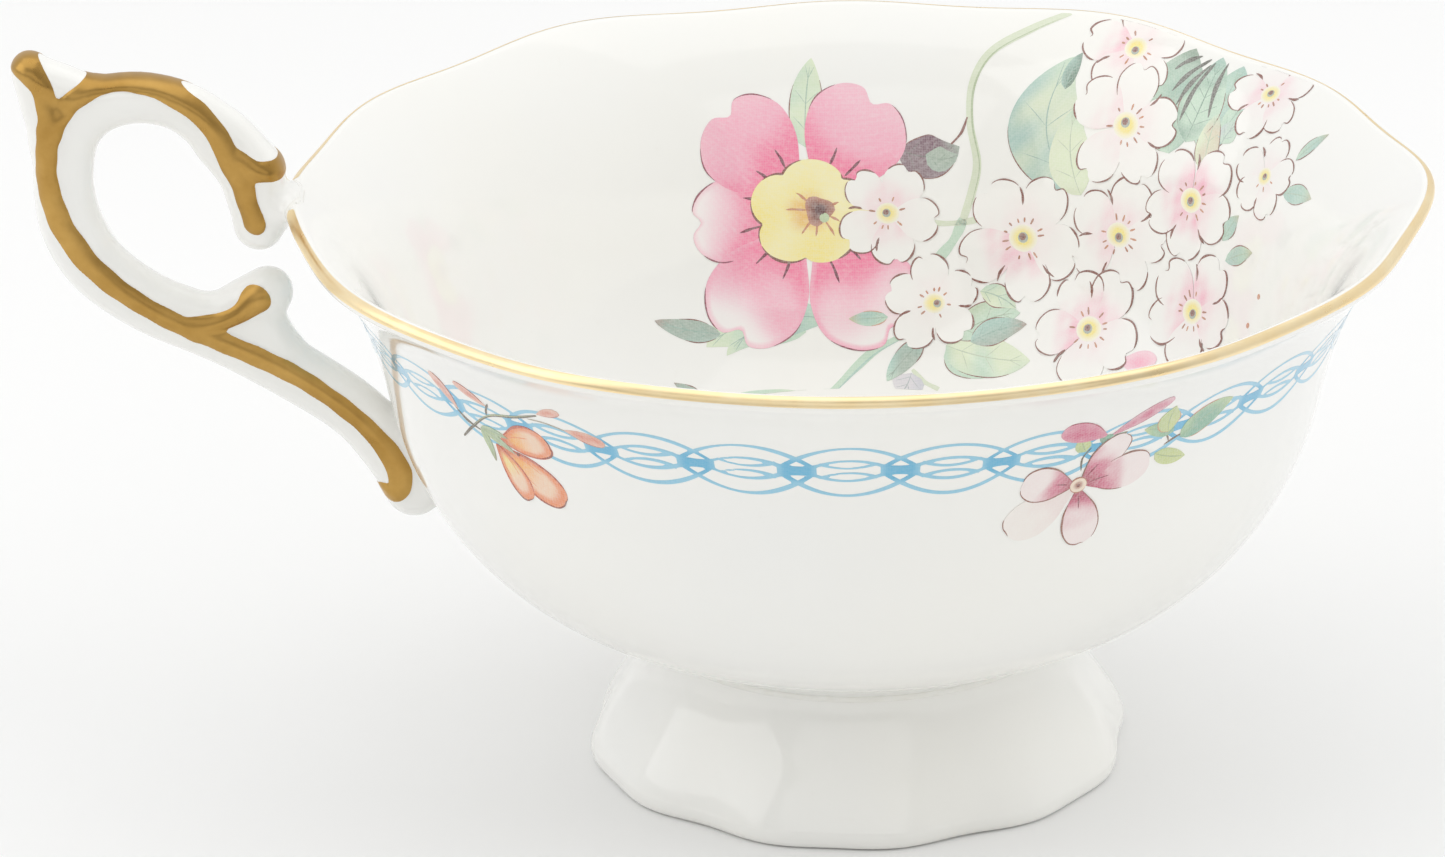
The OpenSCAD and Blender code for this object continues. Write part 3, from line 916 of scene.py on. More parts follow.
class Print:
    """Closed plates of enamel on one face of the bowl that together make one printed piece."""

    def __init__(self, face, seed):
        self.face, self.random = face, np.random.default_rng(seed)
        self.points, self.faces, self.inks, self.total = [], [], [], 0

    def board(self, angle, depth):
        return Board(self.face, angle, depth)

    def plate(self, board, flat, triangles, inks, level):
        a, b, c = (flat[triangles[:, i]] for i in range(3))
        area = (b - a)[:, 0] * (c - a)[:, 1] - (b - a)[:, 1] * (c - a)[:, 0]
        if area.sum() < 0:
            triangles = triangles[:, ::-1]
        top = board.lay(flat, PRINT_LIFT + level * LAYER_LIFT)
        points, faces = closed_plate(top, board.lay(flat, BOTTOM_LIFT), triangles)
        self.points.append(points)
        self.faces.append(faces + self.total)
        self.inks.append(np.tile(inks, (2, 1)))
        self.total += len(points)

    def fan(self, board, outline, colour, level, centre=None, grain=0.42):
        """A filled outline; colour is given each point and how near it is to the outline."""
        outline = resample(np.concatenate([outline, outline[:1]]), grain)[:-1]
        centre = outline.mean(0) if centre is None else np.asarray(centre, float)
        reach = np.linalg.norm(outline - centre, axis=1).max()
        rings = max(2, math.ceil(reach / grain))
        share = np.arange(1, rings + 1) / rings
        n = len(outline)
        flat = np.concatenate([[centre], (centre + share[:, None, None] * (outline - centre)).reshape(-1, 2)])
        near = np.concatenate([[0], np.repeat(share, n)])
        k = np.arange(n)
        first = np.stack([np.zeros(n, int), 1 + (k + 1) % n, 1 + k], 1)
        triangles = np.concatenate([first, halved(turned_quads(rings, n) + 1)])
        self.plate(board, flat, triangles, colour(flat, near), level)

    def stroke(self, board, path, half, colour, level, start=0.0, end=1.0, blunt=0.0, lanes=3):
        """A drawn line that swells and thins like a brush stroke; blunt keeps its ends wide."""
        line = resample(np.asarray(path, float), 0.22)
        count = len(line)
        low, high = int(start * (count - 1)), int(math.ceil(end * (count - 1)))
        line = line[low:high + 1]
        if len(line) < 3:
            return
        along = np.gradient(line, axis=0)
        side = np.stack([-along[:, 1], along[:, 0]], 1)
        side /= np.linalg.norm(side, axis=1)[:, None] + 1e-9
        t = np.linspace(0, 1, len(line))
        swell = np.clip(np.sin(math.pi * t), 0, 1) ** 0.5 * (1 - blunt) + blunt
        waver = 1 + 0.18 * np.sin(9 * t + self.random.uniform(0, 6.3))
        width = np.maximum(half * swell * waver, 0.012)
        share = np.linspace(-1, 1, lanes)
        flat = (line[None] + share[:, None, None] * (side * width[:, None])[None]).reshape(-1, 2)
        inks = colour(flat, np.tile(t, lanes)) if callable(colour) else np.tile(colour, (len(flat), 1))
        self.plate(board, flat, grid_triangles(lanes, len(line)), inks, level)

    def dot(self, board, place, radius, colour, level, squash=1.0):
        a = np.arange(10) * math.tau / 10
        ring = np.asarray(place) + radius * np.stack([np.cos(a), squash * np.sin(a)], 1)
        flat = np.concatenate([[place], ring])
        k = np.arange(10)
        triangles = np.stack([np.zeros(10, int), 1 + k, 1 + (k + 1) % 10], 1)
        self.plate(board, flat, triangles, np.tile(colour, (11, 1)), level)

    def outlined(self, board, outline, colour, level, spans, half=0.075):
        """Pieces of an outline drawn over a shape, each from one share of its length to another."""
        closed = np.concatenate([outline, outline[:1]])
        for start, end in spans:
            self.stroke(board, closed, half * self.random.uniform(0.75, 1.25), colour, level, start, end)

    def leaf(self, board, base, tip, width, bend, tones, level, veins=3, edge=BROWN, fold=0.55):
        """A leaf from base to tip whose midrib bows sideways by bend, washed from tone to tone."""
        base, tip = np.asarray(base, float), np.asarray(tip, float)
        length = np.linalg.norm(tip - base)
        ahead = (tip - base) / length
        left = np.array([-ahead[1], ahead[0]])
        rows = max(5, math.ceil(length / 0.42))
        lanes = max(5, 2 * math.ceil(width / 0.84) + 1)
        t = np.linspace(0, 1, rows)
        rib = base + t[:, None] * (tip - base) + (4 * bend * t * (1 - t))[:, None] * left
        along = np.gradient(rib, axis=0)
        side = np.stack([-along[:, 1], along[:, 0]], 1)
        side /= np.linalg.norm(side, axis=1)[:, None]
        half = width / 2 * np.sin(math.pi * t ** 0.8) ** 0.8 * (1 + 0.06 * np.sin(7 * t + level)) + 0.02
        share = np.linspace(-1, 1, lanes)
        flat = (rib[None] + share[:, None, None] * (side * half[:, None])[None]).reshape(-1, 2)
        tt, ss = np.tile(t, lanes), np.repeat(share, rows)
        wash = 0.5 + 0.55 * clouds(flat, level + 7, 3.2) + (ss - 0.1) * fold
        inks = mix(mix(tones[0], tones[1], wash), tones[2], smoothstep((tt - 0.62) / 0.5))
        self.plate(board, flat, grid_triangles(lanes, rows), inks, level)
        dark = mix(tones[1], DARK_GREEN, np.array(0.38))
        self.stroke(board, rib, 0.06, dark, level + 1, 0.02, 0.9)
        for i in range(veins):
            at = 0.2 + 0.6 * i / max(veins - 1, 1)
            for way in (-1, 1):
                k = int(at * (rows - 1))
                m = min(rows - 1, k + max(2, rows // 6))
                end = rib[m] + way * side[m] * half[m] * 0.75
                self.stroke(board, [rib[k], (rib[k] + end) / 2 + 0.04 * ahead, end], 0.035, dark, level + 1)
        if edge is not None:
            for way in (-1, 1):
                rim = rib + way * side * half[:, None]
                low = self.random.uniform(0.0, 0.3)
                self.stroke(board, rim, 0.05, edge, level + 1, low, low + self.random.uniform(0.35, 0.6))

    def piece(self, name, material, slot, *nodes):
        made = mesh_piece(name, np.concatenate(self.points), np.concatenate(self.faces), [material],
                          np.concatenate(self.inks))
        return finish_piece(made, slot, *nodes)


def heading(degrees):
    return np.array([math.cos(math.radians(degrees)), math.sin(math.radians(degrees))])


def outward(inner, outer, start, span, strength=1.0):
    """A wash for a fan that goes from one tone towards another on the way to its outline."""
    return lambda flat, near: mix(inner, outer, smoothstep((near - start) / span) * strength)


def petal(base, toward, length, width, notch=0.05, skew=0.0):
    """Outline of a petal from its base, anticlockwise; notch dents its tip and skew leans it."""
    half = [(0.0, 0.05), (0.18, 0.24), (0.42, 0.44), (0.70, 0.50), (0.92, 0.36), (1.0, 0.15)]
    shape = [(a, -c * (1 - skew)) for a, c in half] + [(1 - notch, 0.0)]
    shape += [(a, c * (1 + skew)) for a, c in reversed(half)]
    along, across = np.array(shape).T * [[length], [width]]
    c, s = heading(toward)
    points = np.stack([base[0] + along * c - across * s, base[1] + along * s + across * c], 1)
    return smooth_path(points, 6, closed=True)[:-1]


def along_petal(flat, base, toward, length):
    """How far points lie along a petal, from 0 at its base to 1 at its tip."""
    return ((flat - base) @ heading(toward)) / length


def heart(sheet, board, centre, radius, level, tilt=0.0):
    """The yellow middle of a small blossom: an eye, and short strokes round it."""
    centre = np.asarray(centre, float)
    random = sheet.random
    a = np.linspace(0, math.tau, 19)[:-1]
    ring = centre + radius * np.stack([np.cos(a), 0.9 * np.sin(a)], 1)
    sheet.fan(board, ring, outward(YELLOW, WHITE, 0.45, 0.55, 0.85), level)
    shift = random.normal(size=2) * radius * 0.10
    sheet.dot(board, centre + shift + [0.06, -0.08], radius * 0.36, ink(176, 184, 176), level + 1)
    sheet.dot(board, centre + shift, radius * 0.24, ink(156, 112, 100), level + 2)
    sheet.dot(board, centre + shift + [0.02, 0.03], radius * 0.12, EYE_BROWN, level + 3)
    for k in range(14):
        if random.uniform() < 0.25:
            continue
        b = math.radians(tilt) + (k + random.uniform(-0.2, 0.2)) * math.tau / 14
        way = np.array([math.cos(b), math.sin(b)])
        start = centre + radius * random.uniform(1.0, 1.15) * way
        end = centre + radius * random.uniform(1.3, 1.6) * way
        tone = mix(SOFT_BROWN, BROWN, np.array(random.uniform(0, 0.6)))
        sheet.stroke(board, [start, (start + end) / 2, end], 0.10, tone, level + 1, blunt=0.6)


def white_blossom(sheet, angle, depth, radius, start, level, flush):
    """A small white blossom, flushed with pink near its middle and partly outlined in brown."""
    board = sheet.board(angle, depth)
    random = sheet.random
    petals, notch = 5, 0.10
    for k in range(petals):
        toward = start + 360 * k / petals + random.uniform(-7, 7)
        length = radius * random.uniform(0.93, 1.08)
        way = heading(toward)
        base = 0.08 * radius * way
        width = radius * random.uniform(0.80, 0.96)
        shape = petal(base, toward, length, width, notch, random.uniform(-0.14, 0.14))
        pinkness = flush * random.choice([0.25, 0.7, 1.2])

        def wash(flat, near, toward=toward, base=base, length=length, pinkness=pinkness):
            t = along_petal(flat, base, toward, length)
            patchy = 0.8 + 0.3 * clouds(flat, 3, 2)
            return mix(WHITE, PINK, pinkness * (1 - smoothstep((t - 0.15) / 0.6)) * patchy)

        sheet.fan(board, shape, wash, level + k, centre=base + 0.55 * length * way)
        one_side = random.uniform(0.20, 0.30), random.uniform(0.42, 0.50)
        other_side = random.uniform(0.52, 0.58), random.uniform(0.66, 0.80)
        sheet.outlined(board, shape, BROWN, level + 5, [one_side, other_side], 0.085)
        if random.uniform() < 0.6:
            gap = heading(toward + 180 / petals)
            side = np.array([-gap[1], gap[0]])
            cleft = [0.86 * radius * gap + 0.05 * radius * side, 0.72 * radius * gap, 0.56 * radius * gap]
            sheet.stroke(board, smooth_path(cleft, 4), 0.13, BROWN, level + 5)
    heart(sheet, board, (0, 0), radius * 0.26, level + 6, start)


def primrose(sheet, angle, depth, level):
    """The large pink blossom: five broad notched petals round a yellow, lobed middle."""
    board = sheet.board(angle, depth)
    random = sheet.random
    inset = 2.2
    # each petal: direction, reach, width, how pale its outer half is, how strong its rim is
    for k, (toward, reach, width, pale, rim) in enumerate([
            (180, 12.0, 8.2, 1.0, 0.6), (127, 13.8, 9.8, 0.12, 0.0), (236, 14.6, 10.6, 1.0, 0.7),
            (303, 15.0, 11.4, 1.0, 1.0), (58, 13.6, 10.2, 0.15, 0.0)]):
        base = inset * heading(toward)
        length = reach - inset
        shape = petal(base, toward, length, width, 0.09, random.uniform(-0.08, 0.08))

        def wash(flat, near, toward=toward, base=base, length=length, pale=pale, rim=rim, k=k):
            t = along_petal(flat, base, toward, length)
            patch = clouds(flat, 20 + k, 5.0)
            tone = mix(DEEP_PINK, PINK, smoothstep((t - 0.30 + 0.12 * patch) / 0.35))
            tone = mix(tone, PALE_PINK, pale * smoothstep((t - 0.45 + 0.10 * patch) / 0.4))
            tone = mix(tone, WHITE, pale * 0.8 * smoothstep((t - 0.72 + 0.08 * patch) / 0.25))
            return mix(tone, PINK, rim * smoothstep((near - 0.90) / 0.07))

        sheet.fan(board, shape, wash, level + k)
        sheet.outlined(board, shape, ink(150, 74, 92), level + 5, [(0.30, 0.42), (0.62, 0.72)], 0.07)
        for side in (-14, 9):
            way = heading(toward + side + random.uniform(-4, 4))
            vein = [way * 5.0, way * 6.1 + [0.08, 0.05], way * random.uniform(6.9, 7.7)]
            sheet.stroke(board, vein, 0.14, ink(126, 52, 72), level + 6)
    a = np.linspace(0, math.tau, 91)[:-1]
    lobes = 4.6 + 1.15 * np.abs(np.cos(2.5 * (a - 0.20))) ** 0.6 + 0.15 * np.sin(3 * a + 1)
    ring = lobes[:, None] * np.stack([1.08 * np.cos(a), 0.94 * np.sin(a)], 1)

    def yolk(flat, near):
        glow = 0.5 + 0.4 * clouds(flat, 5, 4)
        tone = mix(PALE_YELLOW, YELLOW, smoothstep(glow) * 0.7 + 0.3 * near)
        return mix(ink(244, 200, 120), tone, smoothstep((near - 0.15) / 0.35))

    sheet.fan(board, ring, yolk, level + 7)
    for start in (0.05, 0.27, 0.46, 0.60, 0.83):
        sheet.outlined(board, ring, BROWN, level + 8, [(start, start + random.uniform(0.09, 0.14))], 0.11)
    eye = np.array([0.9, 0.15])
    few = a[::6]
    blot = eye + (1.45 + 0.25 * np.sin(3 * few + 1))[:, None] * np.stack([np.cos(few), np.sin(few)], 1)
    sheet.fan(board, blot, outward(EYE_BROWN, ink(196, 140, 122), 0.4, 0.6), level + 8)
    sheet.dot(board, eye + [0.15, 0.05], 0.55, ink(104, 64, 66), level + 9)
    sheet.dot(board, eye + [0.55, -0.75], 0.5, ink(196, 214, 176), level + 9)
    for toward, reach in ((176, 3.3), (140, 2.9), (232, 2.9), (262, 2.6), (300, 3.0), (330, 2.4), (20, 2.2)):
        way = heading(toward)
        ray = [eye + 1.2 * way, eye + 0.6 * (1.2 + reach) * way + [0.04, 0.06], eye + reach * way]
        sheet.stroke(board, ray, 0.12, ink(206, 140, 104), level + 8)


def stem(sheet, places, half, colour, level, darker=None):
    """A stalk through places given as angle and depth, with a shaded side."""
    middle = places[len(places) // 2]
    board = sheet.board(*middle)
    path = smooth_path([board.spot(*p) for p in places], 8)
    sheet.stroke(board, path, half, colour, level, blunt=0.75, lanes=5)
    if darker is not None:
        sheet.stroke(board, path + [half * 0.6, -half * 0.4], half * 0.22, darker, level + 1, 0.05, 0.95)


def make_bouquet():
    sheet = Print(INSIDE, 4)
    green, blue_green = (LIGHT_GREEN, SAGE, LIGHT_GREEN), (SAGE, TEAL, LIGHT_GREEN)
    dusky = (GREY_GREEN, TEAL, ink(176, 150, 140))

    def leaf(base, tip, width, bend, tones, level, **more):
        """A leaf between two places on the wall, each an angle and a depth."""
        board = sheet.board((base[0] + tip[0]) / 2, (base[1] + tip[1]) / 2)
        sheet.leaf(board, board.spot(*base), board.spot(*tip), width, bend, tones, level, **more)

    # stalks, then leaves from the back to the front
    stem(sheet, [(64.8, -0.1), (68.6, 2.0), (72.5, 4.6), (74.2, 8), (74, 12), (72.6, 16), (73, 19),
                 (74, 21.8)], 0.42, STEM_GREEN, 0, ink(186, 200, 166))
    stem(sheet, [(71, 21.5), (74.5, 22.2), (77.5, 22.4), (80, 22.2)], 0.3, STEM_GREEN, 0)
    stem(sheet, [(74, 21.8), (75.2, 24), (77.5, 26.2)], 0.5, SAGE, 0)
    stem(sheet, [(82, 34), (86, 35.6), (89, 37.4), (92.5, 39.6), (94, 40.6)], 0.42, SAGE, 0, TEAL)
    stem(sheet, [(79.5, 37.4), (77.5, 38.6), (74.5, 39.4)], 0.26, STEM_GREEN, 0)
    leaf((95.2, 14.9), (93.9, 5.9), 3.4, 0.3, green, 2)
    leaf((96.5, 33.4), (112.5, 33.8), 5.0, -1.5, green, 2, edge=None)
    leaf((93.2, 32.2), (109.6, 35.0), 4.0, -1.6, blue_green, 4, edge=None)
    leaf((109.8, 32.7), (119.6, 30.2), 2.2, 0.3, dusky, 6)
    leaf((97.5, 40.4), (113.0, 39.4), 3.4, 0.9, (SAGE, LIGHT_GREEN, SAGE), 2, edge=None)
    leaf((116.2, 38.2), (119.9, 36.8), 0.9, 0.2, dusky, 2, veins=0)
    leaf((82.9, 15.2), (75.1, 14.6), 4.4, -0.9, (PLUM, ink(146, 124, 132), GREY_GREEN), 3, fold=-0.8)
    leaf((79.5, 15.6), (75.2, 15.4), 2.4, -0.5, (GREY_GREEN, ink(176, 190, 176), GREY_GREEN), 5, edge=None)
    stem(sheet, [(74.4, 11.6), (75.0, 13.2), (76.2, 14.4)], 0.12, BROWN, 5)
    leaf((59.0, 17.6), (62.3, 4.6), 7.6, 2.6, (ink(222, 232, 206), ink(178, 208, 200), SAGE), 4, fold=0.5)
    leaf((57.5, 17.8), (60.5, 9.6), 4.6, 0.8, (LIGHT_GREEN, ink(228, 236, 208), SAGE), 6, edge=None)
    leaf((62.6, 8.0), (61.8, 4.2), 1.5, 0.2, (DARK_GREEN, TEAL, DARK_GREEN), 8, edge=None)
    shade = (ink(166, 196, 180), SAGE, ink(156, 172, 156))
    leaf((40.6, 10.5), (40.9, 0.6), 5.6, -0.3, (TEAL, SAGE, TEAL), 2, veins=5)
    leaf((45.6, 11.6), (48.2, 0.5), 8.2, 0.6, shade, 4, veins=5)
    leaf((43.6, 10.0), (44.2, 0.4), 5.2, -0.4, (SAGE, ink(150, 182, 164), TEAL), 6, veins=5)
    board = sheet.board(45, 5)
    for low, high in (((48.4, 5.6), (45.4, 1.0)), ((47.0, 6.8), (45.0, 1.6)), ((45.6, 8.2), (44.6, 1.2)),
                      ((41.6, 7.0), (43.0, 0.8)), ((49.4, 3.4), (46.8, 1.0))):
        middle = board.spot((low[0] + high[0]) / 2 + 0.3, (low[1] + high[1]) / 2)
        streak = smooth_path([board.spot(*low), middle, board.spot(*high)], 6)
        sheet.stroke(board, streak, 0.26, ink(112, 112, 104), 8)
    leaf((39.2, 12.2), (40.4, 6.2), 3.0, 0.2, (ink(224, 214, 190), LIGHT_GREEN, SAGE), 7)
    leaf((38.0, 9.0), (36.8, 6.4), 2.4, 0.2, (SAGE, ink(200, 214, 210), SAGE), 7, edge=None)
    leaf((38.8, 8.0), (37.6, 3.6), 2.2, -0.2, (TEAL, SAGE, SAGE), 5, edge=None)
    for base, tip, width in (((24.3, 7.2), (21.8, 3.2), 1.4), ((23.4, 10.6), (16.8, 9.2), 2.0),
                             ((32.4, 17.8), (30.6, 14.8), 1.8), ((30.9, 19.5), (25.6, 17.4), 1.8)):
        leaf(base, tip, width, 0.15, (TEAL, SAGE, ink(196, 190, 160)), 4, veins=1)
    leaf((70.8, 34.0), (62.6, 31.4), 2.6, 0.3, dusky, 12)
    leaf((74.6, 34.6), (60.4, 35.0), 4.6, -0.6, (SAGE, LIGHT_GREEN, LIGHT_GREEN), 8)
    leaf((73.4, 33.8), (64.0, 30.4), 3.6, 0.6, (SAGE, ink(200, 218, 190), SAGE), 10)
    leaf((70.6, 28.8), (64.8, 30.0), 2.2, 0.3, (LIGHT_GREEN, SAGE, LIGHT_GREEN), 11)
    leaf((74.5, 35.0), (66.0, 37.2), 2.6, -0.5, (SAGE, TEAL, SAGE), 6)

    primrose(sheet, 95.0, 21.4, 10)
    leaf((84.0, 32.0), (89.9, 32.2), 1.5, 0.1, (TEAL, SAGE, ink(214, 190, 150)), 22, veins=1, edge=SOFT_BROWN)
    leaf((78.4, 34.3), (83.6, 38.8), 2.3, -0.2, (TEAL, GREY_GREEN, SAGE), 20, veins=2)
    leaf((79.6, 37.8), (81.4, 40.6), 3.2, 0.2, (ink(226, 222, 228), ink(208, 208, 218), WHITE), 6, edge=None)

    # each small blossom: angle, depth, radius, direction of its first petal, level, how pink it is
    for blossom in ((84.4, 21.6, 4.6, 68, 22, 0.35), (77.2, 30.4, 4.4, 100, 30, 0.10),
                    (65.2, 23.0, 5.9, 62, 16, 0.6), (55.6, 2.6, 4.9, 100, 12, 0.7),
                    (53.1, 10.2, 5.7, 88, 22, 0.30), (34.9, 2.6, 4.4, 120, 12, 0.5),
                    (28.4, 10.2, 3.9, 96, 12, 0.15), (50.8, 20.8, 5.4, 80, 14, 0.4),
                    (39.9, 15.3, 5.4, 60, 22, 0.7), (35.0, 25.6, 5.4, 70, 30, 0.6),
                    (52.3, 30.6, 5.6, 60, 30, 0.8)):
        white_blossom(sheet, *blossom)
    board = sheet.board(42.0, 32.5)
    patch = petal((-2.0, -0.3), 12, 4.6, 2.6)
    sheet.fan(board, patch, outward(PINK, PALE_PINK, 0, 1, 0.6), 8)
    for angle, depth in ((21.3, 20.8), (22.2, 24.0)):
        sheet.dot(sheet.board(angle, depth), (0, 0), 0.28, SOFT_BROWN, 2)
    sheet.piece("inner_bouquet_print", enamel_material("bouquet_enamel"), "bouquet_enamel", "inner_bouquet")


# ---- the two sprays outside ------------------------------------------------------------------------------
CORAL, ORANGE, DEEP_ORANGE = ink(226, 140, 118), ink(240, 138, 84), ink(206, 88, 44)
PALE_ORANGE, HONEY = ink(248, 212, 184), ink(250, 178, 88)
TWIG, CALYX = ink(96, 84, 62), ink(180, 196, 150)


def bud(sheet, board, base, toward, length, width, tones, level):
    """A closed bud: tones are its middle's, its rim's and its outline's."""
    shape = petal(base, toward, length, width, 0.0)

    def wash(flat, near):
        return mix(tones[0], tones[1], smoothstep(near) * 0.8 + 0.3 * clouds(flat, level, 1))

    sheet.fan(board, shape, wash, level)
    sheet.outlined(board, shape, tones[2], level + 1, [(0.06, 0.42)], 0.05)


def thin_stalk(sheet, board, places, half, colour):
    sheet.stroke(board, smooth_path(places, 6), half, colour, 6)


def hanging_petal(sheet, board, base, toward, length, width, level, heart_tone, skew):
    """One orange petal: pale within, a warm heart and a thick, shaded rim."""
    shape = petal(base, toward, length, width, 0.0, skew)

    def wash(flat, near):
        t = along_petal(flat, base, toward, length)
        tone = mix(heart_tone, PALE_ORANGE, smoothstep((t - 0.25) / 0.45))
        tone = mix(tone, ORANGE, 0.9 * smoothstep((near - 0.55) / 0.30))
        return mix(tone, DEEP_ORANGE, 0.8 * (1 - smoothstep(t / 0.3)))

    sheet.fan(board, shape, wash, level, grain=0.3)
    sheet.outlined(board, shape, ink(196, 84, 46), level + 1, [(0.04, 0.52), (0.58, 0.97)], 0.12)
    sheet.outlined(board, shape, ink(140, 74, 56), level + 2, [(0.30, 0.52)], 0.07)
    ahead = heading(toward)
    for lean in (-0.16, 0.14):
        side = np.array([-ahead[1], ahead[0]]) * lean * width
        start = base + ahead * length * 0.15 + side
        end = base + ahead * length * 0.6 + side * 1.6
        sheet.stroke(board, [start, (start + end) / 2 + side * 0.2, end], 0.06, ORANGE, level + 1)


def make_orange_spray(name, node, turn, seed):
    sheet = Print(OUTSIDE, seed)
    board = sheet.board(226.0 + turn, 12.5)

    def at(angle, depth):
        return np.array(board.spot(angle + turn, depth))

    twig = smooth_path([at(217.4, 14.4), at(220, 12.6), at(224, 10.2), at(229, 8.9), at(232.6, 7.7)], 8)
    sheet.stroke(board, twig, 0.15, TWIG, 6, blunt=0.5)
    sheet.stroke(board, twig + [0.05, 0.10], 0.07, ink(170, 178, 140), 7, 0.2, 0.95)
    thin_stalk(sheet, board, [at(217.6, 10.6), at(219.2, 12.0), at(221.8, 12.7)], 0.14, TWIG)
    thin_stalk(sheet, board, [at(223.6, 10.2), at(224.0, 9.4), at(224.8, 8.4)], 0.13, TWIG)
    thin_stalk(sheet, board, [at(230.8, 8.6), at(233.5, 8.5), at(236.6, 9.0)], 0.08, ink(176, 166, 150))
    tones = (CORAL, ink(240, 190, 170), ink(190, 104, 90))
    bud(sheet, board, at(218.2, 11.0), 118, 4.6, 1.5, tones, 8)
    bud(sheet, board, at(224.2, 8.9), 150, 4.0, 1.3, tones, 8)
    bud(sheet, board, at(232.8, 7.4), 22, 3.4, 1.1, tones, 8)
    bud(sheet, board, at(236.0, 8.8), -12, 4.0, 1.5, tones, 8)
    hanging_petal(sheet, board, at(224.8, 12.9), 8, 6.4, 3.6, 10, HONEY, 0.25)
    hanging_petal(sheet, board, at(224.4, 13.8), -32, 7.9, 3.9, 13, HONEY, -0.1)
    hanging_petal(sheet, board, at(223.6, 13.7), -62, 6.0, 2.7, 16, ink(250, 222, 140), 0.1)
    sepal = (CALYX, ink(176, 196, 160), ink(176, 160, 130))
    for tip, width in ((at(222.6, 15.8), 0.9), (at(226.6, 14.1), 0.9), (at(226.0, 12.4), 0.8)):
        sheet.leaf(board, at(221.6, 12.2), tip, width, 0.12, sepal, 19, veins=0, edge=None)
    sheet.dot(board, at(227.0, 14.0), 0.2, ink(128, 66, 50), 21)
    sheet.piece(name, enamel_material("orange_enamel_" + name), "orange_enamel", node)


ROSE, DEEP_ROSE, BLUSH = ink(214, 102, 136), ink(176, 54, 84), ink(248, 228, 232)
JADE, LEAF_YELLOW = ink(134, 182, 156), ink(206, 216, 152)


def make_pink_spray(name, node, turn, seed):
    sheet = Print(OUTSIDE, seed)
    board = sheet.board(295.0 + turn, 14.6)

    def at(angle, depth):
        return np.array(board.spot(angle + turn, depth))

    russet = ink(128, 96, 70)
    thin_stalk(sheet, board, [at(295.0, 13.0), at(294.8, 11.4), at(295.6, 10.2)], 0.09, TWIG)
    thin_stalk(sheet, board, [at(305.8, 12.2), at(307.4, 11.6), at(309.6, 11.2)], 0.10, russet)
    thin_stalk(sheet, board, [at(306.4, 12.0), at(305.9, 11.2), at(304.9, 10.4)], 0.09, russet)
    jade = (JADE, ink(170, 202, 160), LEAF_YELLOW)
    yellow = (LEAF_YELLOW, ink(190, 206, 146), LEAF_YELLOW)
    sheet.leaf(board, at(308.0, 11.8), at(315.0, 8.9), 3.3, 0.3, jade, 8, veins=1, edge=SOFT_BROWN)
    sheet.leaf(board, at(306.6, 10.8), at(302.0, 9.4), 1.9, -0.2, jade, 8, veins=0, edge=None)
    sheet.leaf(board, at(305.8, 10.6), at(305.2, 7.0), 2.5, 0.3, yellow, 10, veins=0, edge=SOFT_BROWN)
    sheet.leaf(board, at(304.8, 13.0), at(309.8, 14.4), 1.9, -0.2, yellow, 8, veins=0, edge=None)
    sheet.leaf(board, at(295.0, 10.6), at(294.0, 8.6), 1.6, 0.1, yellow, 8, veins=0, edge=None)
    dark = (JADE, DARK_GREEN, JADE)
    darkest = (DARK_GREEN, JADE, ink(150, 120, 96))
    sheet.leaf(board, at(298.6, 9.8), at(296.2, 9.0), 1.3, 0.1, dark, 10, veins=0, edge=None)
    sheet.leaf(board, at(297.2, 9.9), at(299.6, 9.0), 1.0, -0.1, darkest, 11, veins=0, edge=None)
    bud(sheet, board, at(297.0, 8.9), 158, 5.0, 2.7, (ROSE, ink(226, 150, 172), DEEP_ROSE), 12)
    bud(sheet, board, at(297.8, 9.0), 34, 6.6, 1.7, (ROSE, ink(228, 176, 190), DEEP_ROSE), 12)
    edges = ink(150, 92, 74)
    # each petal: direction, length, width, how much rose it has, how its outline is drawn
    for k, (toward, length, width, rosy, spans) in enumerate([
            (212, 7.2, 4.3, 0.10, [(0.40, 0.50)]),
            (168, 5.2, 3.9, 0.8, [(0.05, 0.46), (0.55, 0.95)]),
            (8, 6.9, 4.0, 0.9, [(0.10, 0.24), (0.52, 0.80)]),
            (52, 6.0, 3.2, 0.85, [(0.30, 0.50), (0.52, 0.96)]),
            (278, 6.2, 3.7, 0.9, [(0.12, 0.50), (0.56, 0.94)])]):
        way = heading(toward)
        base = 0.55 * way
        shape = petal(base, toward, length, width, 0.0, sheet.random.uniform(-0.1, 0.1))

        def wash(flat, near, toward=toward, base=base, length=length, rosy=rosy, k=k):
            t = along_petal(flat, base, toward, length)
            pale = mix(ink(250, 244, 240), BLUSH, np.full(len(t), 0.6) * rosy)
            tone = mix(ROSE, pale, smoothstep((t - 0.24 + 0.10 * clouds(flat, 30 + k, 1.5)) / 0.46))
            tone = mix(DEEP_ROSE, tone, smoothstep(t / 0.34))
            return mix(pale, tone, np.full(len(t), min(1.0, rosy + 0.05)))

        level = 14 + k
        sheet.fan(board, shape, wash, level, grain=0.3)
        sheet.outlined(board, shape, edges, level + 5, spans, 0.065)
        if rosy > 0.5:
            vein = [1.2 * way, 0.3 * length * way + [0.05, 0.03], 0.45 * length * way]
            sheet.stroke(board, vein, 0.07, ink(150, 60, 80), level + 5)
    a = np.linspace(0, math.tau, 19)[:-1]
    ring = 0.85 * np.stack([np.cos(a), np.sin(a)], 1)
    sheet.fan(board, ring, outward(ink(176, 112, 96), ink(246, 226, 206), 0.25, 0.3), 25)
    sheet.outlined(board, ring, ink(190, 130, 104), 26, [(0.0, 0.4), (0.5, 0.9)], 0.05)
    sheet.dot(board, (0, -0.05), 0.18, ink(132, 70, 62), 27)
    sheet.piece(name, enamel_material("pink_enamel_" + name), "pink_enamel", node)


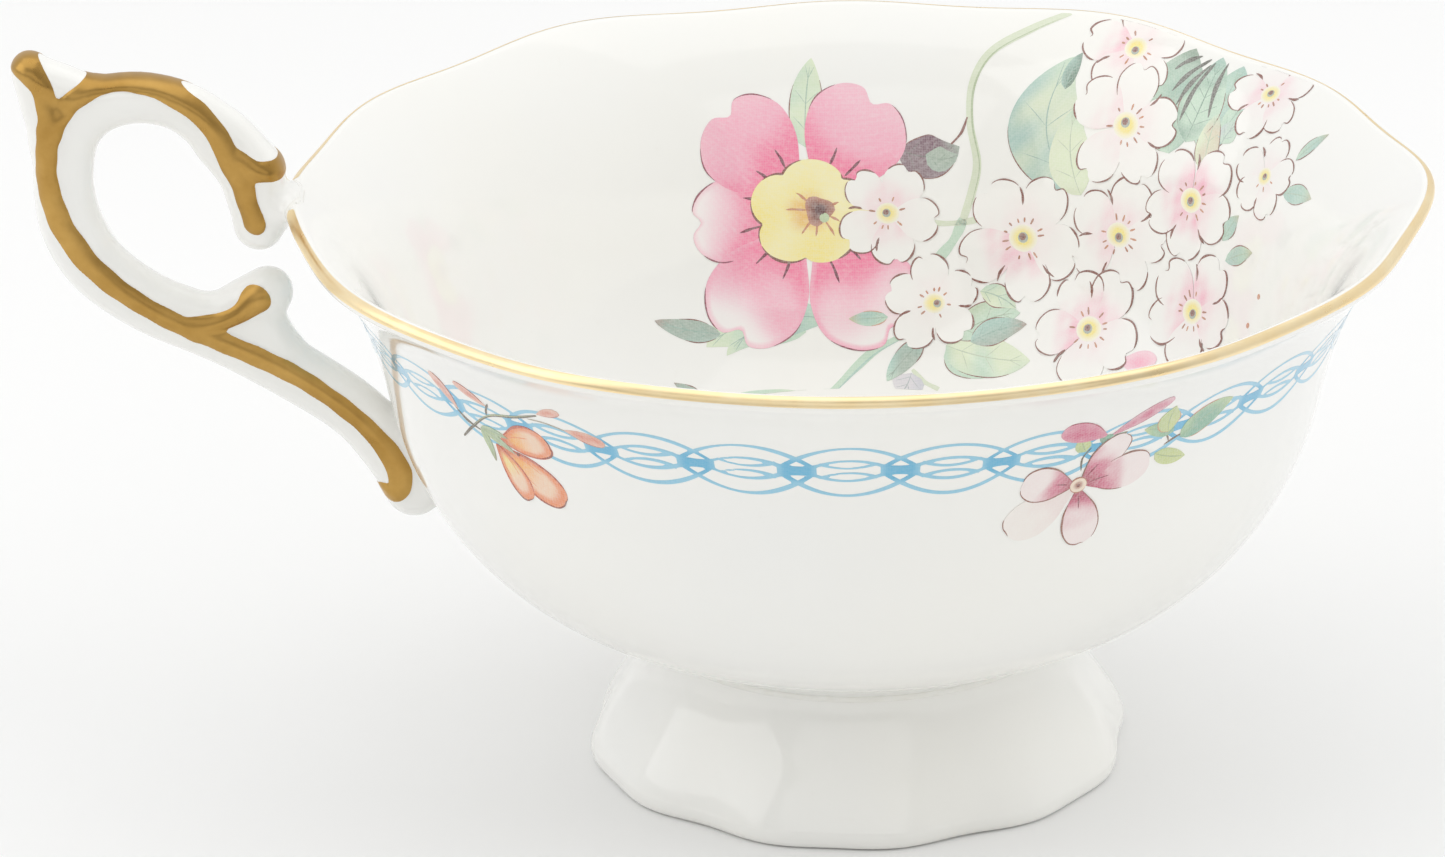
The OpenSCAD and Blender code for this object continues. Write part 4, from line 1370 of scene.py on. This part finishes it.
# ---- lattice border -----------------------------------------------------------------------------------
REPEATS = 32
BAND = 3.1                                  # half the height of the border, along the wall
KNOT_ANGLE = 262.6                          # where one of its knots lies
KNOT_HALF = 0.19                            # half a knot's width, as a share of a repeat


def lattice_value(u, v):
    """Below zero on the drawn lines; u counts repeats from a knot, v is 1 at the border's edge."""
    period = 2 * math.pi * OUTSIDE.radius(OUTSIDE.depth_of(BORDER_Z)) / REPEATS
    best = np.full(u.shape, 9.0)
    for turn in (0, 1):
        w = u + turn - 0.5
        for side in (1, -1):
            # each arc: height of its top, how it bows, how far it reaches, half its line's width
            arcs = ((1.0, -2.0, 0.67, 0.20), (0.42, -2.2, 0.36, 0.19), (0.10, 2.33, 0.28, 0.17))
            for top, bow, reach, half in arcs:
                height = side * (top + bow * w * w)
                slope = 2 * bow * w * BAND / period
                off = np.abs(v - height) * BAND / np.sqrt(1 + slope * slope) - half
                best = np.minimum(best, np.maximum(off, (np.abs(w) - reach) * period))
    near = np.abs(u) / KNOT_HALF
    knot = (np.abs(v) - 0.17 - 0.05 * np.clip(near, 0, 1) ** 1.5) * BAND
    return np.minimum(best, np.maximum(knot, (near - 1) * KNOT_HALF * period))


def make_lattice():
    columns, rows = 46, 36
    u = np.arange(REPEATS * columns) / columns
    v = np.linspace(1.12, -1.12, rows)
    middle = OUTSIDE.depth_of(BORDER_Z)
    angle = KNOT_ANGLE + u * 360 / REPEATS
    uu, vv = np.broadcast_arrays(((u + 0.5) % 1 - 0.5)[None, :], v[:, None])
    waver = 0.02 * wave(angle, 8, low=17)
    value = lattice_value(uu, vv + waver[None, :]) + 0.03 * wave(angle, 9, low=23)[None, :]
    depth = middle - BAND * vv
    top = OUTSIDE.point(angle[None, :], depth, LATTICE_LIFT).reshape(-1, 3)
    bottom = OUTSIDE.point(angle[None, :], depth, FILM_BOTTOM).reshape(-1, 3)
    # the enamel lies thicker, and so bluer, in the knots
    knotted = 1 - smoothstep((np.abs(uu) - 0.10) / 0.12)
    tones = mix(ink(152, 208, 234), ink(106, 186, 224), knotted * (1 - smoothstep((np.abs(vv) - 0.3) / 0.3)))
    sheet = np.concatenate([top, bottom, tones.reshape(-1, 3)], 1)
    quads = turned_quads(rows, len(u))
    cut, faces = clip(sheet, halved(quads)[:, ::-1], value.ravel())
    points, faces = closed_plate(cut[:, :3], cut[:, 3:6], faces)
    inks = np.tile(cut[:, 6:], (2, 1))
    finish_piece(mesh_piece("lattice_print", points, faces, [enamel_material("blue_enamel", 0.06)], inks),
                 "blue_enamel", "border_transfer")


make_lattice()
make_orange_spray("front_orange_spray", "front_orange_blossom", 0, 11)
make_orange_spray("back_orange_spray", "back_orange_blossom", -180, 12)
make_pink_spray("front_pink_spray", "front_pink_blossom", 0, 13)
make_pink_spray("back_pink_spray", "back_pink_blossom", -180, 14)
make_bouquet()


# ---- studio and camera --------------------------------------------------------------------------------
def make_floor():
    """A pale studio table top, far larger than the cup."""
    shader = Shader("studio_table", Roughness=0.75, Specular_IOR_Level=0.2)
    tone = shader.span(shader.noise(3.0, 3.0), 0, 1)
    shader.colour(shader.blend(tone, (0.90, 0.90, 0.895, 1), (0.92, 0.92, 0.915, 1)))
    rings, spokes, height = 14, 64, -0.02
    radius = np.geomspace(0.05, 6.0, rings)[:, None] / MM
    a = np.radians(np.arange(spokes) * 360 / spokes)
    level = np.full((rings, spokes), height)
    points = np.stack([radius * np.cos(a), radius * np.sin(a), level], -1).reshape(-1, 3)
    points = np.concatenate([points, [[0, 0, height]]])
    k = np.arange(spokes)
    middle = np.stack([np.full(spokes, rings * spokes), k, (k + 1) % spokes], 1)
    quads = turned_quads(rings, spokes)[:, ::-1]
    triangles = np.concatenate([halved(quads), middle])
    mesh_piece("studio_table", points, triangles, [shader.material])


def softbox(name, place, aim, size, power, mirrored=True):
    """A soft rectangular light; one that isn't mirrored leaves no image of itself in glaze or gold."""
    light = bpy.data.lights.new(name, "AREA")
    light.shape = "RECTANGLE"
    light.size, light.size_y = size
    light.energy = power
    made = bpy.data.objects.new(name, light)
    made.location = place
    made.rotation_euler = (Vector(aim) - Vector(place)).to_track_quat("-Z", "Y").to_euler()
    made.visible_camera = False
    made.visible_glossy = mirrored
    bpy.context.scene.collection.objects.link(made)


def make_lights():
    world = bpy.data.worlds.new("studio")
    bpy.context.scene.world = world
    world.use_nodes = True
    tree = world.node_tree
    back = next(n for n in tree.nodes if n.type == "BACKGROUND")
    # the studio is dimmer towards the side that the cup's front faces
    way = tree.nodes.new("ShaderNodeTexCoord")
    split = tree.nodes.new("ShaderNodeSeparateXYZ")
    level = tree.nodes.new("ShaderNodeMapRange")
    tree.links.new(way.outputs["Generated"], split.inputs[0])
    tree.links.new(split.outputs["Y"], level.inputs["Value"])
    tree.links.new(level.outputs["Result"], back.inputs["Strength"])
    for key, value in (("From Min", -0.9), ("From Max", 0.3), ("To Min", 0.36), ("To Max", 0.84)):
        level.inputs[key].default_value = value
    back.inputs["Color"].default_value = (1.0, 1.0, 1.0, 1)
    softbox("left", (-0.68, -0.15, 0.55), (-0.05, 0, 0.02), (0.9, 0.8), 1.9)
    softbox("right", (0.72, -0.15, 0.58), (0.05, 0, 0.02), (0.9, 0.8), 2.1, mirrored=False)
    softbox("top", (0.0, 0.15, 1.1), (0, 0, 0), (1.2, 1.2), 2.6)
    softbox("front", (0.0, -1.0, 0.55), (0, 0, 0.03), (1.2, 0.7), 1.4)


def make_camera():
    distance, tilt, roll = 0.8, math.radians(22.15), math.radians(-0.884)
    target = Vector((-12.66, 0, 32.6)) * MM
    back = Vector((0, -math.cos(tilt), math.sin(tilt)))
    right, up = Vector((1, 0, 0)), Vector((0, math.sin(tilt), math.cos(tilt)))
    turned_right = right * math.cos(roll) + up * math.sin(roll)
    turned_up = up * math.cos(roll) - right * math.sin(roll)
    data = bpy.data.cameras.new("camera")
    data.sensor_width = 36
    data.lens = 209.5
    data.clip_start, data.clip_end = 0.01, 50
    camera = bpy.data.objects.new("camera", data)
    camera.matrix_world = Matrix.Translation(target + back * distance) @ Matrix(
        (turned_right, turned_up, back)).transposed().to_4x4()
    bpy.context.scene.collection.objects.link(camera)
    bpy.context.scene.camera = camera


make_floor()
make_lights()
make_camera()
bpy.context.scene.view_settings.view_transform = "Standard"
